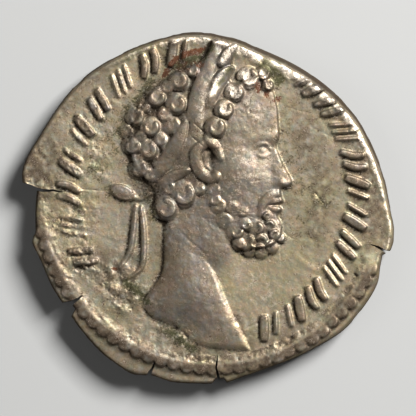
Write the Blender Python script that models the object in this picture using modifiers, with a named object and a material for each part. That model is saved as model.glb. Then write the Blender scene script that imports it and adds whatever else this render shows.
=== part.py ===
"""A struck silver coin, about 18 mm across, lying on its reverse.

The obverse, on top, has a bearded head to the right in a laurel wreath, inside a border of beads and a ring
of strokes. The reverse, underneath, has a plain standing figure. The coin is one piece of metal: a turned blank
whose points are moved onto the two struck faces and out to the uneven edge, then cut by the cracks in the edge.

Lengths in this file are millimetres until the last step, which makes metres of them. +X is to the right of the
head, +Y is up the head and +Z is out of the obverse. The coin rests on Z = 0.
"""

import math
from dataclasses import dataclass

import bmesh
import bpy
import numpy as np


@dataclass(frozen=True)
class Ridge:
    """A half-round ridge along a smooth path, or a groove where the height is negative."""

    path: tuple
    half_width: float
    height: float


@dataclass(frozen=True)
class Swell:
    """A soft hill, or a hollow where the height is negative."""

    centre: tuple
    half_size: tuple
    height: float


@dataclass(frozen=True)
class Limb:
    """A round bar of the reverse figure, thicker at one end."""

    start: tuple
    end: tuple
    start_radius: float
    end_radius: float


# Unit and node
METRES = 0.001
COIN_NAME = "denarius"

# The blank: levels over the surface that the coin lies on, radius, and how finely it is turned
REST_LEVEL = 0.0
REVERSE_FIELD = 0.22
EDGE_LEVEL = 0.80
OBVERSE_FIELD = 1.40
TOP_LEVEL = 1.94
FIELD_DOME = 0.06
BLANK_RADIUS = 8.6
SPIN_STEPS = 420
RINGS_TO_EDGE = 128
EDGE_RINGS = 8
EDGE_BAND = 0.06
EDGE_PULL = 6
MERGE_DISTANCE = 0.0001
TRIANGLE_BUDGET = 9500
SHARP_ANGLE = 40.0

# The uneven edge, as runs of (angle in degrees from +X, radius) that meet at the broken corners
EDGE_RUNS = (
    ((-12.9, 9.06), (-9.8, 9.11), (-6.0, 9.05), (1.6, 8.79), (11, 8.64), (21, 8.50), (30, 8.46), (44, 8.26),
     (58, 8.12), (70, 8.10), (81, 8.31), (95, 8.54), (107, 8.52), (120, 8.56), (134, 8.70), (147, 8.73),
     (156, 8.82), (163, 9.03), (168.5, 9.15), (172, 9.02)),
    ((173.3, 8.27), (179, 8.30), (187, 8.37), (191, 8.64), (198, 8.43), (206, 8.41), (213, 8.36)),
    ((214, 8.02), (217.2, 8.02)),
    ((218.3, 8.38), (228, 8.54), (236, 8.68), (245, 8.78), (250, 8.58)),
    ((251.5, 8.50), (257, 8.56), (264, 8.50), (271.5, 8.45)),
    ((272.6, 8.25), (275.4, 8.25)),
    ((276.3, 8.46), (282, 8.31), (290, 8.23), (298, 8.32), (308, 8.51), (318, 8.80), (328, 8.91), (336, 8.96),
     (341, 8.80), (345, 8.73)),
)

# Cracks in the edge: angle, how far in the tip reaches, and width at the edge
CRACKS = (
    ("crack_left", 173.6, 1.35, 0.16),
    ("crack_lower_left", 215.8, 0.75, 0.20),
    ("crack_bottom_left", 250.6, 0.80, 0.20),
    ("crack_bottom", 273.9, 1.30, 0.12),
    ("crack_right", 346.1, 0.95, 0.14),
)

# A crack's cutter stands past the coin by these amounts
CUTTER_DEPTH = 3.0
CUTTER_OVERHANG = 0.6

# How far in from the edge the obverse starts to fall, by angle: wide at the upper right, narrow elsewhere
EDGE_FALL_NARROW = 0.22
EDGE_FALL_WIDE = 0.42
EDGE_FALL_MIDDLE = 62.0
EDGE_FALL_SPREAD = 75.0

# Border of beads
BORDER_CENTRE = (0.26, 0.75)
BORDER_RADIUS = 8.50
BEAD_COUNT = 85
BEAD_RADIUS = 0.35
BEAD_HEIGHT = 0.25

# The ridge that joins the beads on their inner side, as shares of a bead's radius and height
RIDGE_OFFSET = 0.40
RIDGE_WIDTH = 0.60
RIDGE_HEIGHT = 0.55

# Outside the beads the metal steps down to a lip: its drop, and where it starts and ends past the beads' middle
LIP_DROP = 0.16
LIP_START = 0.10
LIP_END = 0.40

# Ring of strokes: each arc is (first angle, last angle, number of strokes) round the border's centre
STROKE_RING_RADIUS = 6.95
STROKE_ARCS = ((207.0, 99.0, 12), (50.0, -69.0, 15))
STROKE_LENGTH = 1.15
STROKE_HALF_WIDTH = 0.15
STROKE_HEIGHT = 0.18

# The head, whose height from crown to chin is 1 in the head's own units
HEAD_CENTRE = (-0.05, 2.80)
HEAD_HEIGHT = 8.45
HEAD_RELIEF = 0.42
HEAD_EDGE_RELIEF = 0.24
HEAD_EDGE_ROUNDING = 0.16
HEAD_SWELL = 1.9
DETAIL_MARGIN = 0.25
LEAST_RELIEF = 0.05

# Profile from the hairline to under the beard, in head units
FACE_PROFILE = (
    (0.385, 0.320), (0.404, 0.235), (0.410, 0.150), (0.414, 0.075), (0.398, 0.030), (0.416, -0.030),
    (0.448, -0.100), (0.482, -0.162), (0.486, -0.190), (0.458, -0.212), (0.424, -0.222), (0.428, -0.262),
    (0.438, -0.292), (0.414, -0.312), (0.430, -0.338), (0.404, -0.372), (0.428, -0.420), (0.424, -0.480),
    (0.386, -0.530), (0.330, -0.556), (0.268, -0.560), (0.215, -0.580),
)

# Brow, eye, nose, cheek, lips and moustache: paths and centres in head units, widths and heights in millimetres
FACE_FORMS = (
    Ridge(((0.404, 0.060), (0.350, 0.090), (0.280, 0.088), (0.225, 0.060)), 0.30, 0.08),
    Swell((0.330, 0.010), (0.62, 0.50), -0.15),
    Swell((0.318, 0.004), (0.26, 0.24), 0.12),
    Ridge(((0.366, 0.002), (0.335, 0.036), (0.290, 0.030), (0.258, 0.000)), 0.12, 0.06),
    Ridge(((0.362, -0.020), (0.322, -0.038), (0.274, -0.020)), 0.11, 0.04),
    Swell((0.430, -0.186), (0.20, 0.17), 0.08),
    Swell((0.240, -0.130), (1.10, 0.80), 0.07),
    Swell((0.370, -0.100), (0.35, 0.90), -0.07),
    Ridge(((0.425, -0.286), (0.385, -0.292), (0.345, -0.306)), 0.16, 0.07),
    Ridge(((0.418, -0.338), (0.385, -0.336), (0.350, -0.320)), 0.16, 0.06),
    Ridge(((0.430, -0.312), (0.390, -0.312), (0.348, -0.314)), 0.09, -0.07),
    Ridge(((0.430, -0.245), (0.370, -0.258), (0.322, -0.300), (0.300, -0.372)), 0.22, 0.11),
)

# The ear: a hollow inside a thick rim
EAR_HOLLOW = Swell((0.020, -0.060), (0.30, 0.62), -0.14)
EAR_RIM = Ridge(
    ((0.045, 0.020), (-0.005, 0.035), (-0.055, 0.000), (-0.062, -0.060), (-0.035, -0.125), (0.015, -0.160),
     (0.050, -0.150)), 0.28, 0.14)

# Neck: the hollow behind the cord of muscle, and the cord, on the coin's own plane
NECK_FORMS = (
    Swell((-0.35, -2.30), (0.90, 1.60), -0.06),
    Ridge(((-0.60, -1.60), (0.05, -2.60), (0.50, -3.60), (0.95, -4.60)), 0.60, 0.06),
)

# A groove cut along the side of a raised form: its depth and width
GROOVE_DEPTH = 0.07
GROOVE_WIDTH = 0.10

# Neck and bust from the beard down to the point, along the cut and up the nape
BUST_OUTLINE = (
    (1.50, -2.75), (1.38, -3.60), (1.46, -4.20), (1.64, -5.07), (1.88, -6.04), (2.08, -6.86), (0.97, -6.78),
    (0.02, -6.69), (-0.53, -6.47), (-1.01, -6.10), (-1.52, -5.67), (-2.13, -5.46), (-2.75, -5.17),
    (-3.20, -4.56), (-2.72, -3.86), (-2.32, -3.40), (-2.14, -2.80), (-2.14, -1.60), (-2.16, -0.85),
)

# Hair from the nape over the crown to the forehead
HAIR_OUTLINE = (
    (-2.38, -0.60), (-2.70, 0.00), (-2.66, 0.60), (-3.10, 1.15), (-3.78, 1.74), (-4.06, 2.80), (-3.96, 4.01),
    (-3.56, 4.83), (-3.04, 5.80), (-2.32, 6.47), (-1.45, 6.86), (-0.39, 7.53), (0.34, 8.11), (1.30, 8.02),
    (2.27, 7.34), (2.98, 6.75), (3.12, 6.05),
)

# Curls of the hair: place, radius and the side that the pit lies on, in degrees
HAIR_CURLS = (
    (-1.26, 6.33, 0.46, 20), (-1.55, 5.02, 0.52, 10), (-2.56, 5.36, 0.50, -20), (-3.34, 4.42, 0.44, -60),
    (-2.72, 3.84, 0.47, -80), (-2.86, 2.84, 0.47, -70), (-3.58, 3.10, 0.42, -100), (-3.30, 1.92, 0.46, -60),
    (1.93, 6.25, 0.52, 190), (1.26, 5.52, 0.48, 60), (0.76, 4.74, 0.49, 50), (0.34, 3.88, 0.50, 40),
    (2.66, 6.42, 0.38, 30), (-1.17, 0.66, 0.58, -30), (-2.02, 0.02, 0.60, 60),
)
CURL_HEIGHT = 0.13

# The pit of a curl, as shares of the curl's radius: depth, distance off its centre and spread
CURL_PIT = 0.32
PIT_OFFSET = 0.30
PIT_SPREAD = 0.34

# Curls of the beard, in head units: place and radius
BEARD_CURLS = (
    (0.030, -0.215, 0.046), (0.055, -0.300, 0.046), (0.095, -0.380, 0.048), (0.150, -0.450, 0.048),
    (0.215, -0.510, 0.046), (0.285, -0.520, 0.044), (0.350, -0.505, 0.044), (0.405, -0.455, 0.040),
    (0.125, -0.290, 0.044), (0.170, -0.370, 0.046), (0.235, -0.430, 0.046), (0.310, -0.440, 0.044),
)
BEARD_CURL_HEIGHT = 0.09
BEARD_PIT_SIDES = (70.0, 110.0, 150.0)

# Wreath leaves: foot, tip, half width
WREATH_LEAVES = (
    ((-1.00, 4.45), (0.22, 7.75), 0.40), ((-0.42, 4.10), (1.12, 6.80), 0.38), ((0.15, 6.55), (0.95, 8.25), 0.36),
    ((-0.95, 2.85), (-0.55, 4.60), 0.36), ((-2.45, 1.15), (-1.05, 1.95), 0.28), ((-2.45, 1.85), (-1.20, 3.30), 0.30),
)
LEAF_HEIGHT = 0.12

# A leaf's width follows a half sine wave: where it starts, how much of it is used and how full it is
LEAF_FOOT = 0.14
LEAF_RUN = 0.80
LEAF_FULLNESS = 0.6

# Locks combed back between the curls and the ear
COMBED_LOCKS = (
    Ridge(((-0.95, 4.20), (-1.60, 3.60), (-2.05, 2.75)), 0.22, 0.08),
    Ridge(((-2.05, 4.40), (-1.75, 3.75), (-1.20, 3.30)), 0.22, 0.08),
    Ridge(((-0.60, 2.55), (-1.00, 1.75), (-1.55, 1.25)), 0.22, 0.08),
)

# Ribbon of the wreath behind the neck: bow, knot and the two ends
BOW_CENTRE = (-4.10, 0.77)
BOW_HALF_SIZE = (0.62, 0.36)
BOW_TILT = -22.0
BOW_HEIGHT = 0.22
KNOT_CENTRE = (-3.30, 0.55)
KNOT_HALF_SIZE = (0.30, 0.30)
RIBBON_ENDS = (
    ((-3.45, 0.15), (-3.55, -0.60), (-3.62, -1.50), (-3.78, -2.30), (-4.25, -2.95)),
    ((-3.22, 0.10), (-3.10, -0.80), (-3.05, -1.80), (-3.12, -2.80), (-3.75, -3.45)),
)
RIBBON_HALF_WIDTH = 0.20
RIBBON_HEIGHT = 0.17

# Reverse figure, seen from underneath: head, neck, shoulders, body, skirt, two arms of two bars, and feet
FIGURE_LIMBS = (
    Limb((0.0, 5.15), (0.0, 4.95), 0.80, 0.72),
    Limb((0.0, 4.2), (0.0, 3.4), 0.35, 0.55),
    Limb((-0.75, 3.2), (0.75, 3.2), 0.55, 0.55),
    Limb((0.0, 3.1), (0.0, 0.8), 1.05, 0.90),
    Limb((0.0, 0.8), (0.1, -4.6), 1.10, 1.55),
    Limb((-0.95, 3.1), (-1.85, 1.6), 0.42, 0.36),
    Limb((-1.85, 1.6), (-3.05, 1.35), 0.36, 0.28),
    Limb((0.95, 3.1), (1.75, 2.0), 0.42, 0.36),
    Limb((1.75, 2.0), (2.60, 3.1), 0.36, 0.28),
    Limb((-0.65, -5.1), (-0.95, -5.35), 0.42, 0.30),
    Limb((0.75, -5.1), (1.15, -5.35), 0.42, 0.30),
)
FIGURE_RELIEF = 0.30

# Grooves of the dress: four down the skirt and two across the body
DRESS_FOLDS = (
    Ridge(((-0.75, 0.6), (-0.90, -2.0), (-1.10, -4.6)), 0.16, -0.10),
    Ridge(((-0.25, 0.6), (-0.28, -2.0), (-0.30, -4.6)), 0.16, -0.10),
    Ridge(((0.30, 0.6), (0.38, -2.0), (0.50, -4.6)), 0.16, -0.10),
    Ridge(((0.80, 0.6), (0.98, -2.0), (1.25, -4.6)), 0.16, -0.10),
    Ridge(((-0.95, 2.9), (-0.35, 1.9), (0.85, 1.2)), 0.16, -0.10),
    Ridge(((-1.00, 2.1), (-0.45, 1.35), (0.75, 0.65)), 0.16, -0.10),
)

# What the figure holds and stands on: a staff, a dish and a ground line
STAFF = Ridge(((2.75, -5.3), (2.66, 4.7)), 0.17, 0.19)
DISH_CENTRE = (-3.45, 1.30)
DISH_HALF_SIZE = (0.52, 0.29)
DISH_HEIGHT = 0.18
GROUND_LINE = Ridge(((-3.6, -5.75), (3.6, -5.75)), 0.16, 0.19)
REVERSE_BEAD_COUNT = 78
REVERSE_BORDER_RADIUS = 8.05
REVERSE_STROKE_RADIUS = 6.60
REVERSE_STROKE_ARCS = ((217.0, 113.0, 11), (58.0, -37.0, 10))
REVERSE_BEAD_HEIGHT = 0.26

# Toned silver
SILVER_COLOUR = (0.33, 0.30, 0.24, 1.0)
SILVER_METALLIC = 0.85
SILVER_ROUGHNESS = 0.42


def smooth_step(low, high, value):
    """0 below low, 1 above high, and an S-curve between them."""
    t = np.clip((value - low) / (high - low), 0.0, 1.0)
    return t * t * (3.0 - 2.0 * t)


def rounded(distance, half_width, height):
    """Height of a half-round ridge at a distance from its middle line."""
    return height * np.sqrt(np.clip(1.0 - (distance / half_width) ** 2, 0.0, 1.0))


def swell(x, y, centre, half_size, height):
    """A soft hill, or a hollow where the height is negative."""
    return height * np.exp(-(((x - centre[0]) / half_size[0]) ** 2) - ((y - centre[1]) / half_size[1]) ** 2)


def smooth_curve(points, steps):
    """Points along a Catmull-Rom curve through the given points."""
    knots = np.array(points, float)
    padded = np.concatenate([2 * knots[:1] - knots[1:2], knots, 2 * knots[-1:] - knots[-2:-1]])
    t = np.arange(steps)[:, None] / steps
    pieces = []
    for a, b, c, d in zip(padded, padded[1:], padded[2:], padded[3:]):
        bend = 2 * a - 5 * b + 4 * c - d
        twist = 3 * b - a - 3 * c + d
        pieces.append(0.5 * (2 * b + (c - a) * t + bend * t**2 + twist * t**3))
    pieces.append(knots[-1:])
    return np.concatenate(pieces)


def segment_distance(x, y, start, end):
    """Distance from each point to a straight segment, and how far along it the nearest place is, from 0 to 1."""
    run = np.subtract(end, start)
    along = np.clip(((x - start[0]) * run[0] + (y - start[1]) * run[1]) / (run @ run), 0.0, 1.0)
    return np.hypot(x - start[0] - along * run[0], y - start[1] - along * run[1]), along


def path_distance(x, y, points):
    """Distance from each point to a line through several points."""
    nearest = np.full_like(x, np.inf)
    for start, end in zip(points, points[1:]):
        nearest = np.minimum(nearest, segment_distance(x, y, start, end)[0])
    return nearest


def depth_inside(x, y, outline):
    """Distance in from a closed outline, negative outside it."""
    ring = np.vstack([outline, outline[:1]])
    inside = np.zeros(x.shape, bool)
    for (x0, y0), (x1, y1) in zip(ring, ring[1:]):
        crosses = (y0 > y) != (y1 > y)
        inside ^= crosses & (x < (x1 - x0) * (y - y0) / np.where(y1 == y0, 1e-9, y1 - y0) + x0)
    distance = path_distance(x, y, ring)
    return np.where(inside, distance, -distance)


def edge_radius(angle):
    """Radius of the coin at an angle in degrees, smooth along each run and straight across each broken corner."""
    angles = []
    radii = []
    for run in EDGE_RUNS:
        curve = smooth_curve(run, 4) if len(run) > 2 else np.array(run, float)
        angles.extend(curve[:, 0])
        radii.extend(curve[:, 1])
    return np.interp(angle, angles, radii, period=360.0)


def edge_fall(angle):
    """Width of the band where the obverse falls away to the edge."""
    turn = (angle - EDGE_FALL_MIDDLE + 180.0) % 360.0 - 180.0
    share = np.exp(-((turn / EDGE_FALL_SPREAD) ** 2))
    return EDGE_FALL_NARROW + (EDGE_FALL_WIDE - EDGE_FALL_NARROW) * share


def polar(centre, radius, angle):
    """The point at a radius and an angle in degrees round a centre."""
    turn = math.radians(angle)
    return (centre[0] + radius * math.cos(turn), centre[1] + radius * math.sin(turn))


def forms(x, y, shapes, place=lambda *point: point):
    """The sum of several ridges and swells, whose points are put on the coin by the given function."""
    relief = np.zeros_like(x)
    for shape in shapes:
        if isinstance(shape, Swell):
            relief += swell(x, y, place(*shape.centre), shape.half_size, shape.height)
        else:
            path = smooth_curve([place(*point) for point in shape.path], 4)
            relief += rounded(path_distance(x, y, path), shape.half_width, shape.height)
    return relief


def bead_border(x, y, centre, radius, count, height):
    """A ring of beads that run into each other on their inner side."""
    across = np.hypot(x - centre[0], y - centre[1]) - radius
    pitch = 2.0 * math.pi * radius / count
    turn = np.arctan2(y - centre[1], x - centre[0]) * radius
    along = (turn + pitch / 2.0) % pitch - pitch / 2.0
    beads = rounded(np.hypot(along, across), BEAD_RADIUS, height)
    ridge = rounded(across + BEAD_RADIUS * RIDGE_OFFSET, BEAD_RADIUS * RIDGE_WIDTH, height * RIDGE_HEIGHT)
    return np.maximum(beads, ridge)


def stroke_marks(place, angle, kind):
    """One mark of the ring as short paths in the coin's plane: leaning, bent or broken bars, but no letter."""
    half = STROKE_LENGTH / 2.0
    forms = (
        (((-0.36, -half), (-0.12, half)), ((0.14, -half), (0.38, half))),
        (smooth_curve(((-0.05, -half), (0.08, 0.0), (-0.05, half)), 3),),
        (((0.20, -half), (0.08, -0.16)), ((-0.06, 0.16), (-0.18, half))),
        (((-0.30, -half), (-0.06, half)), ((0.22, -0.14), (0.36, half))),
        (smooth_curve(((0.10, -half), (-0.06, 0.0), (0.10, half)), 3),),
        (((-0.12, -half), (0.12, half)),),
    )
    turn = math.radians(angle - 90.0)
    spin = np.array(((math.cos(turn), math.sin(turn)), (-math.sin(turn), math.cos(turn))))
    return [np.array(path) @ spin + place for path in forms[kind % len(forms)]]


def stroke_ring(x, y, centre, radius, arcs):
    """Rows of shallow strokes where the inscription stands."""
    relief = np.zeros_like(x)
    number = 0
    for first, last, count in arcs:
        for step in range(count):
            angle = first + (last - first) * step / (count - 1)
            for path in stroke_marks(np.array(polar(centre, radius, angle)), angle, number):
                relief = np.maximum(relief, rounded(path_distance(x, y, path), STROKE_HALF_WIDTH, STROKE_HEIGHT))
            number += 1
    return relief


def on_head(u, v):
    """The place on the coin of a point in head units."""
    return (HEAD_CENTRE[0] + u * HEAD_HEIGHT, HEAD_CENTRE[1] + v * HEAD_HEIGHT)


def bust_outline():
    """The closed outline of hair, face, beard, neck and bust."""
    profile = [on_head(u, v) for u, v in FACE_PROFILE]
    front = smooth_curve(profile, 3)
    bust = np.array(BUST_OUTLINE)
    hair = smooth_curve(HAIR_OUTLINE, 3)
    return np.concatenate([front, bust, hair])


def groove(away):
    """A groove whose middle runs where away is 0."""
    return GROOVE_DEPTH * np.exp(-((away / GROOVE_WIDTH) ** 2))


def ear(x, y):
    """The rim of the ear round its hollow, with a groove outside the rim."""
    away = path_distance(x, y, smooth_curve([on_head(*point) for point in EAR_RIM.path], 4))
    hollow = swell(x, y, on_head(*EAR_HOLLOW.centre), EAR_HOLLOW.half_size, EAR_HOLLOW.height)
    return rounded(away, EAR_RIM.half_width, EAR_RIM.height) + hollow - groove(away - EAR_RIM.half_width)


def curl(x, y, place, radius, height, pit_side):
    """A snail-shaped lock: a round boss with an off-centre pit and a groove round it."""
    away = np.hypot(x - place[0], y - place[1])
    pit = polar(place, radius * PIT_OFFSET, pit_side)
    hollow = swell(x, y, pit, (radius * PIT_SPREAD, radius * PIT_SPREAD), CURL_PIT * radius)
    return rounded(away, radius, height) - hollow - groove(away - radius)


def leaf(x, y, foot, tip, half_width):
    """A long smooth leaf with a groove at each side."""
    away, along = segment_distance(x, y, foot, tip)
    width = half_width * np.sin(np.pi * (LEAF_FOOT + LEAF_RUN * along)) ** LEAF_FULLNESS
    return rounded(away, width, LEAF_HEIGHT) - groove(away - width)


def head_relief(x, y):
    """The bust: a body that swells from its outline, with the face, ear, locks and leaves laid on it."""
    depth = depth_inside(x, y, bust_outline())
    body = HEAD_EDGE_RELIEF * np.sqrt(1.0 - (1.0 - np.clip(depth / HEAD_EDGE_ROUNDING, 0.0, 1.0)) ** 2)
    body += (HEAD_RELIEF - HEAD_EDGE_RELIEF) * smooth_step(0.0, HEAD_SWELL, depth)
    detail = ear(x, y) + forms(x, y, FACE_FORMS, on_head) + forms(x, y, NECK_FORMS) + forms(x, y, COMBED_LOCKS)
    for place_x, place_y, radius, side in HAIR_CURLS:
        detail += curl(x, y, (place_x, place_y), radius, CURL_HEIGHT, side)
    for number, (u, v, radius) in enumerate(BEARD_CURLS):
        side = BEARD_PIT_SIDES[number % len(BEARD_PIT_SIDES)]
        detail += curl(x, y, on_head(u, v), radius * HEAD_HEIGHT, BEARD_CURL_HEIGHT, side)
    for foot, tip, half_width in WREATH_LEAVES:
        detail += leaf(x, y, foot, tip, half_width)
    inner = smooth_step(0.0, DETAIL_MARGIN, depth)
    return np.where(depth > 0.0, np.maximum(body + detail * inner, LEAST_RELIEF), 0.0)


def oval(x, y, centre, half_size, height, tilt=0.0):
    """A domed oval, turned by a number of degrees."""
    turn = math.radians(tilt)
    along = (x - centre[0]) * math.cos(turn) + (y - centre[1]) * math.sin(turn)
    across = (y - centre[1]) * math.cos(turn) - (x - centre[0]) * math.sin(turn)
    return rounded(np.hypot(along / half_size[0], across / half_size[1]), 1.0, height)


def ribbons(x, y):
    """Bow, knot and hanging ends of the wreath's ribbon."""
    bow = oval(x, y, BOW_CENTRE, BOW_HALF_SIZE, BOW_HEIGHT, BOW_TILT)
    knot = oval(x, y, KNOT_CENTRE, KNOT_HALF_SIZE, RIBBON_HEIGHT)
    relief = np.maximum(bow, knot)
    for end in RIBBON_ENDS:
        away = path_distance(x, y, smooth_curve(end, 4))
        relief = np.maximum(relief, rounded(away, RIBBON_HALF_WIDTH, RIBBON_HEIGHT))
    return relief


def standing_figure(x, y):
    """The reverse's draped figure with a staff and a dish, on a ground line."""
    relief = np.zeros_like(x)
    for limb in FIGURE_LIMBS:
        away, along = segment_distance(x, y, limb.start, limb.end)
        radius = limb.start_radius + (limb.end_radius - limb.start_radius) * along
        relief = np.maximum(relief, rounded(away, radius, FIGURE_RELIEF))
    dressed = relief > FIGURE_RELIEF / 2.0
    relief = np.where(dressed, relief + forms(x, y, DRESS_FOLDS), relief)
    for bar in (STAFF, GROUND_LINE):
        relief = np.maximum(relief, rounded(path_distance(x, y, bar.path), bar.half_width, bar.height))
    return np.maximum(relief, oval(x, y, DISH_CENTRE, DISH_HALF_SIZE, DISH_HEIGHT))


def obverse_height(x, y):
    """Height of the obverse over the coin's plane."""
    across = np.hypot(x - BORDER_CENTRE[0], y - BORDER_CENTRE[1])
    relief = bead_border(x, y, BORDER_CENTRE, BORDER_RADIUS, BEAD_COUNT, BEAD_HEIGHT)
    relief = np.maximum(relief, stroke_ring(x, y, BORDER_CENTRE, STROKE_RING_RADIUS, STROKE_ARCS))
    relief = np.maximum(relief, ribbons(x, y))
    relief = np.maximum(relief, head_relief(x, y))
    dome = FIELD_DOME * (1.0 - (np.hypot(x, y) / BLANK_RADIUS) ** 2)
    lip = LIP_DROP * smooth_step(BORDER_RADIUS + LIP_START, BORDER_RADIUS + LIP_END, across)
    return OBVERSE_FIELD + dome + relief - lip


def reverse_height(x, y):
    """Height of the reverse over the coin's plane, where relief goes down. Its own +X points the other way."""
    mirrored = -x
    relief = bead_border(mirrored, y, (0.0, 0.0), REVERSE_BORDER_RADIUS, REVERSE_BEAD_COUNT, REVERSE_BEAD_HEIGHT)
    relief = np.maximum(relief, stroke_ring(mirrored, y, (0.0, 0.0), REVERSE_STROKE_RADIUS, REVERSE_STROKE_ARCS))
    relief = np.maximum(relief, standing_figure(mirrored, y))
    return REVERSE_FIELD - relief


def turned_blank():
    """A plain disc: a profile from the top of the axis to its foot, spun by a Screw modifier."""
    inner = np.linspace(0.0, 1.0 - EDGE_BAND, RINGS_TO_EDGE)
    outer = 1.0 - EDGE_BAND * np.cos(np.linspace(0.0, math.pi / 2.0, EDGE_RINGS + 1)[1:])
    shares = np.concatenate([inner, outer])
    profile = bmesh.new()
    top = [profile.verts.new((share * BLANK_RADIUS, 0.0, OBVERSE_FIELD)) for share in shares]
    top[-1].co.z = EDGE_LEVEL
    bottom = [profile.verts.new((share * BLANK_RADIUS, 0.0, REVERSE_FIELD)) for share in shares[-2::-1]]
    line = top + bottom
    for upper, lower in zip(line, line[1:]):
        profile.edges.new((upper, lower))
    mesh = bpy.data.meshes.new("blank_profile")
    profile.to_mesh(mesh)
    profile.free()
    blank = bpy.data.objects.new("blank", mesh)
    spin = blank.modifiers.new("spin", "SCREW")
    spin.steps = SPIN_STEPS
    spin.render_steps = SPIN_STEPS
    spin.use_merge_vertices = True
    spin.merge_threshold = MERGE_DISTANCE
    spin.use_normal_calculate = True
    return blank


def made_mesh(obj, name):
    """A new mesh object from an object with its modifiers applied. The old object goes."""
    bpy.context.scene.collection.objects.link(obj)
    graph = bpy.context.evaluated_depsgraph_get()
    mesh = bpy.data.meshes.new_from_object(obj.evaluated_get(graph))
    bpy.data.objects.remove(obj)
    return bpy.data.objects.new(name, mesh)


def mesh_points(mesh):
    """The mesh's points as an array."""
    points = np.empty(len(mesh.vertices) * 3)
    mesh.vertices.foreach_get("co", points)
    return points.reshape(-1, 3)


def set_mesh_points(mesh, points):
    """Moves the mesh's points to the array's places."""
    mesh.vertices.foreach_set("co", points.ravel())
    mesh.update()


def strike(blank):
    """Moves a blank's points out to the coin's edge and onto its two faces."""
    points = mesh_points(blank.data)
    angle = np.degrees(np.arctan2(points[:, 1], points[:, 0]))
    share = np.hypot(points[:, 0], points[:, 1]) / BLANK_RADIUS
    edge = edge_radius(angle)
    radius = share * BLANK_RADIUS + (edge - BLANK_RADIUS) * share**EDGE_PULL
    x = radius * np.cos(np.radians(angle))
    y = radius * np.sin(np.radians(angle))
    inward = edge - radius
    obverse = points[:, 2] > (OBVERSE_FIELD + EDGE_LEVEL) / 2.0
    reverse = points[:, 2] < (REVERSE_FIELD + EDGE_LEVEL) / 2.0
    fall = np.where(obverse, edge_fall(angle), EDGE_FALL_NARROW)
    roundness = np.sqrt(1.0 - (1.0 - np.clip(inward / fall, 0.0, 1.0)) ** 2)
    struck = np.full_like(x, EDGE_LEVEL)
    struck[obverse] = obverse_height(x[obverse], y[obverse])
    struck[reverse] = reverse_height(x[reverse], y[reverse])
    z = EDGE_LEVEL + (struck - EDGE_LEVEL) * roundness
    set_mesh_points(blank.data, np.column_stack([x, y, z]))


def thin(coin, triangles):
    """The same coin with about the given number of triangles, kept where the relief bends most."""
    reduce = coin.modifiers.new("reduce", "DECIMATE")
    coin.data.calc_loop_triangles()
    reduce.ratio = triangles / len(coin.data.loop_triangles)
    reduce.use_collapse_triangulate = True
    return made_mesh(coin, coin.name)


def wear(coin):
    """Flattens the highest relief of both faces to the two planes that the coin has worn to and rests on."""
    points = mesh_points(coin.data)
    points[:, 2] = np.clip(points[:, 2], REST_LEVEL, TOP_LEVEL)
    set_mesh_points(coin.data, points)


def centre(coin):
    """Puts the middle of the coin's outline box on the Z axis."""
    points = mesh_points(coin.data)
    middle = (points.min(axis=0) + points.max(axis=0)) / 2.0
    set_mesh_points(coin.data, points - (middle[0], middle[1], 0.0))


def crack_cutter(name, angle, reach, width):
    """A wedge that opens at the edge and ends in a point inside the coin."""
    wedge = bmesh.new()
    bmesh.ops.create_cone(wedge, cap_ends=True, segments=3, radius1=1.0, radius2=1.0, depth=CUTTER_DEPTH)
    turn = math.radians(angle)
    outer = edge_radius(angle) + CUTTER_OVERHANG
    tip = edge_radius(angle) - reach
    half_mouth = width * (outer - tip) / reach / 2.0
    for vert in wedge.verts:
        at_tip = vert.co.y > 0.0
        side = 0.0 if at_tip else math.copysign(half_mouth, vert.co.x)
        out = tip if at_tip else outer
        vert.co.x = out * math.cos(turn) - side * math.sin(turn)
        vert.co.y = out * math.sin(turn) + side * math.cos(turn)
        vert.co.z += EDGE_LEVEL
    wedge.normal_update()
    bmesh.ops.recalc_face_normals(wedge, faces=wedge.faces)
    mesh = bpy.data.meshes.new(name)
    wedge.to_mesh(mesh)
    wedge.free()
    cutter = bpy.data.objects.new(name, mesh)
    cutter.hide_render = True
    cutter.display_type = "WIRE"
    return cutter


def silver():
    """Toned, worn silver."""
    material = bpy.data.materials.new("toned_silver")
    material.use_nodes = True
    shader = material.node_tree.nodes["Principled BSDF"]
    shader.inputs["Base Color"].default_value = SILVER_COLOUR
    shader.inputs["Metallic"].default_value = SILVER_METALLIC
    shader.inputs["Roughness"].default_value = SILVER_ROUGHNESS
    return material


def to_metres(obj):
    """Scales an object's mesh from millimetres to metres."""
    set_mesh_points(obj.data, mesh_points(obj.data) * METRES)


def new_collection(name):
    """An empty collection in the scene."""
    collection = bpy.data.collections.new(name)
    bpy.context.scene.collection.children.link(collection)
    return collection


def main():
    for obj in list(bpy.data.objects):
        bpy.data.objects.remove(obj)
    blank = made_mesh(turned_blank(), COIN_NAME)
    strike(blank)
    coin = thin(blank, TRIANGLE_BUDGET)
    wear(coin)
    centre(coin)
    to_metres(coin)
    coin.data.materials.append(silver())
    coin.data.shade_smooth()
    coin.data.set_sharp_from_angle(angle=math.radians(SHARP_ANGLE))
    cutters = new_collection("cutters")
    for name, angle, reach, width in CRACKS:
        cutter = crack_cutter(name, angle, reach, width)
        to_metres(cutter)
        cutters.objects.link(cutter)
        cut = coin.modifiers.new(name, "BOOLEAN")
        cut.operation = "DIFFERENCE"
        cut.solver = "EXACT"
        cut.object = cutter
    new_collection("denarius_coin").objects.link(coin)


main()
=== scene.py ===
"""Looks of a worn silver denarius that lies on its reverse under soft studio light.

The coin is made the way a mint makes one. Two dies are carved as fine height maps: broad forms are modelled
on the map, and what repeats (beads, strokes, locks of hair) is made by Geometry Nodes as small punches and
pressed into it. A turned blank is struck between the dies, its edge is broken and cracked, and its surface is
worn.

Lengths are millimetres until the strike, which makes metres of them.
"""

import functools
import logging
import math
from dataclasses import dataclass
from enum import Enum
from typing import Callable, Sequence

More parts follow.
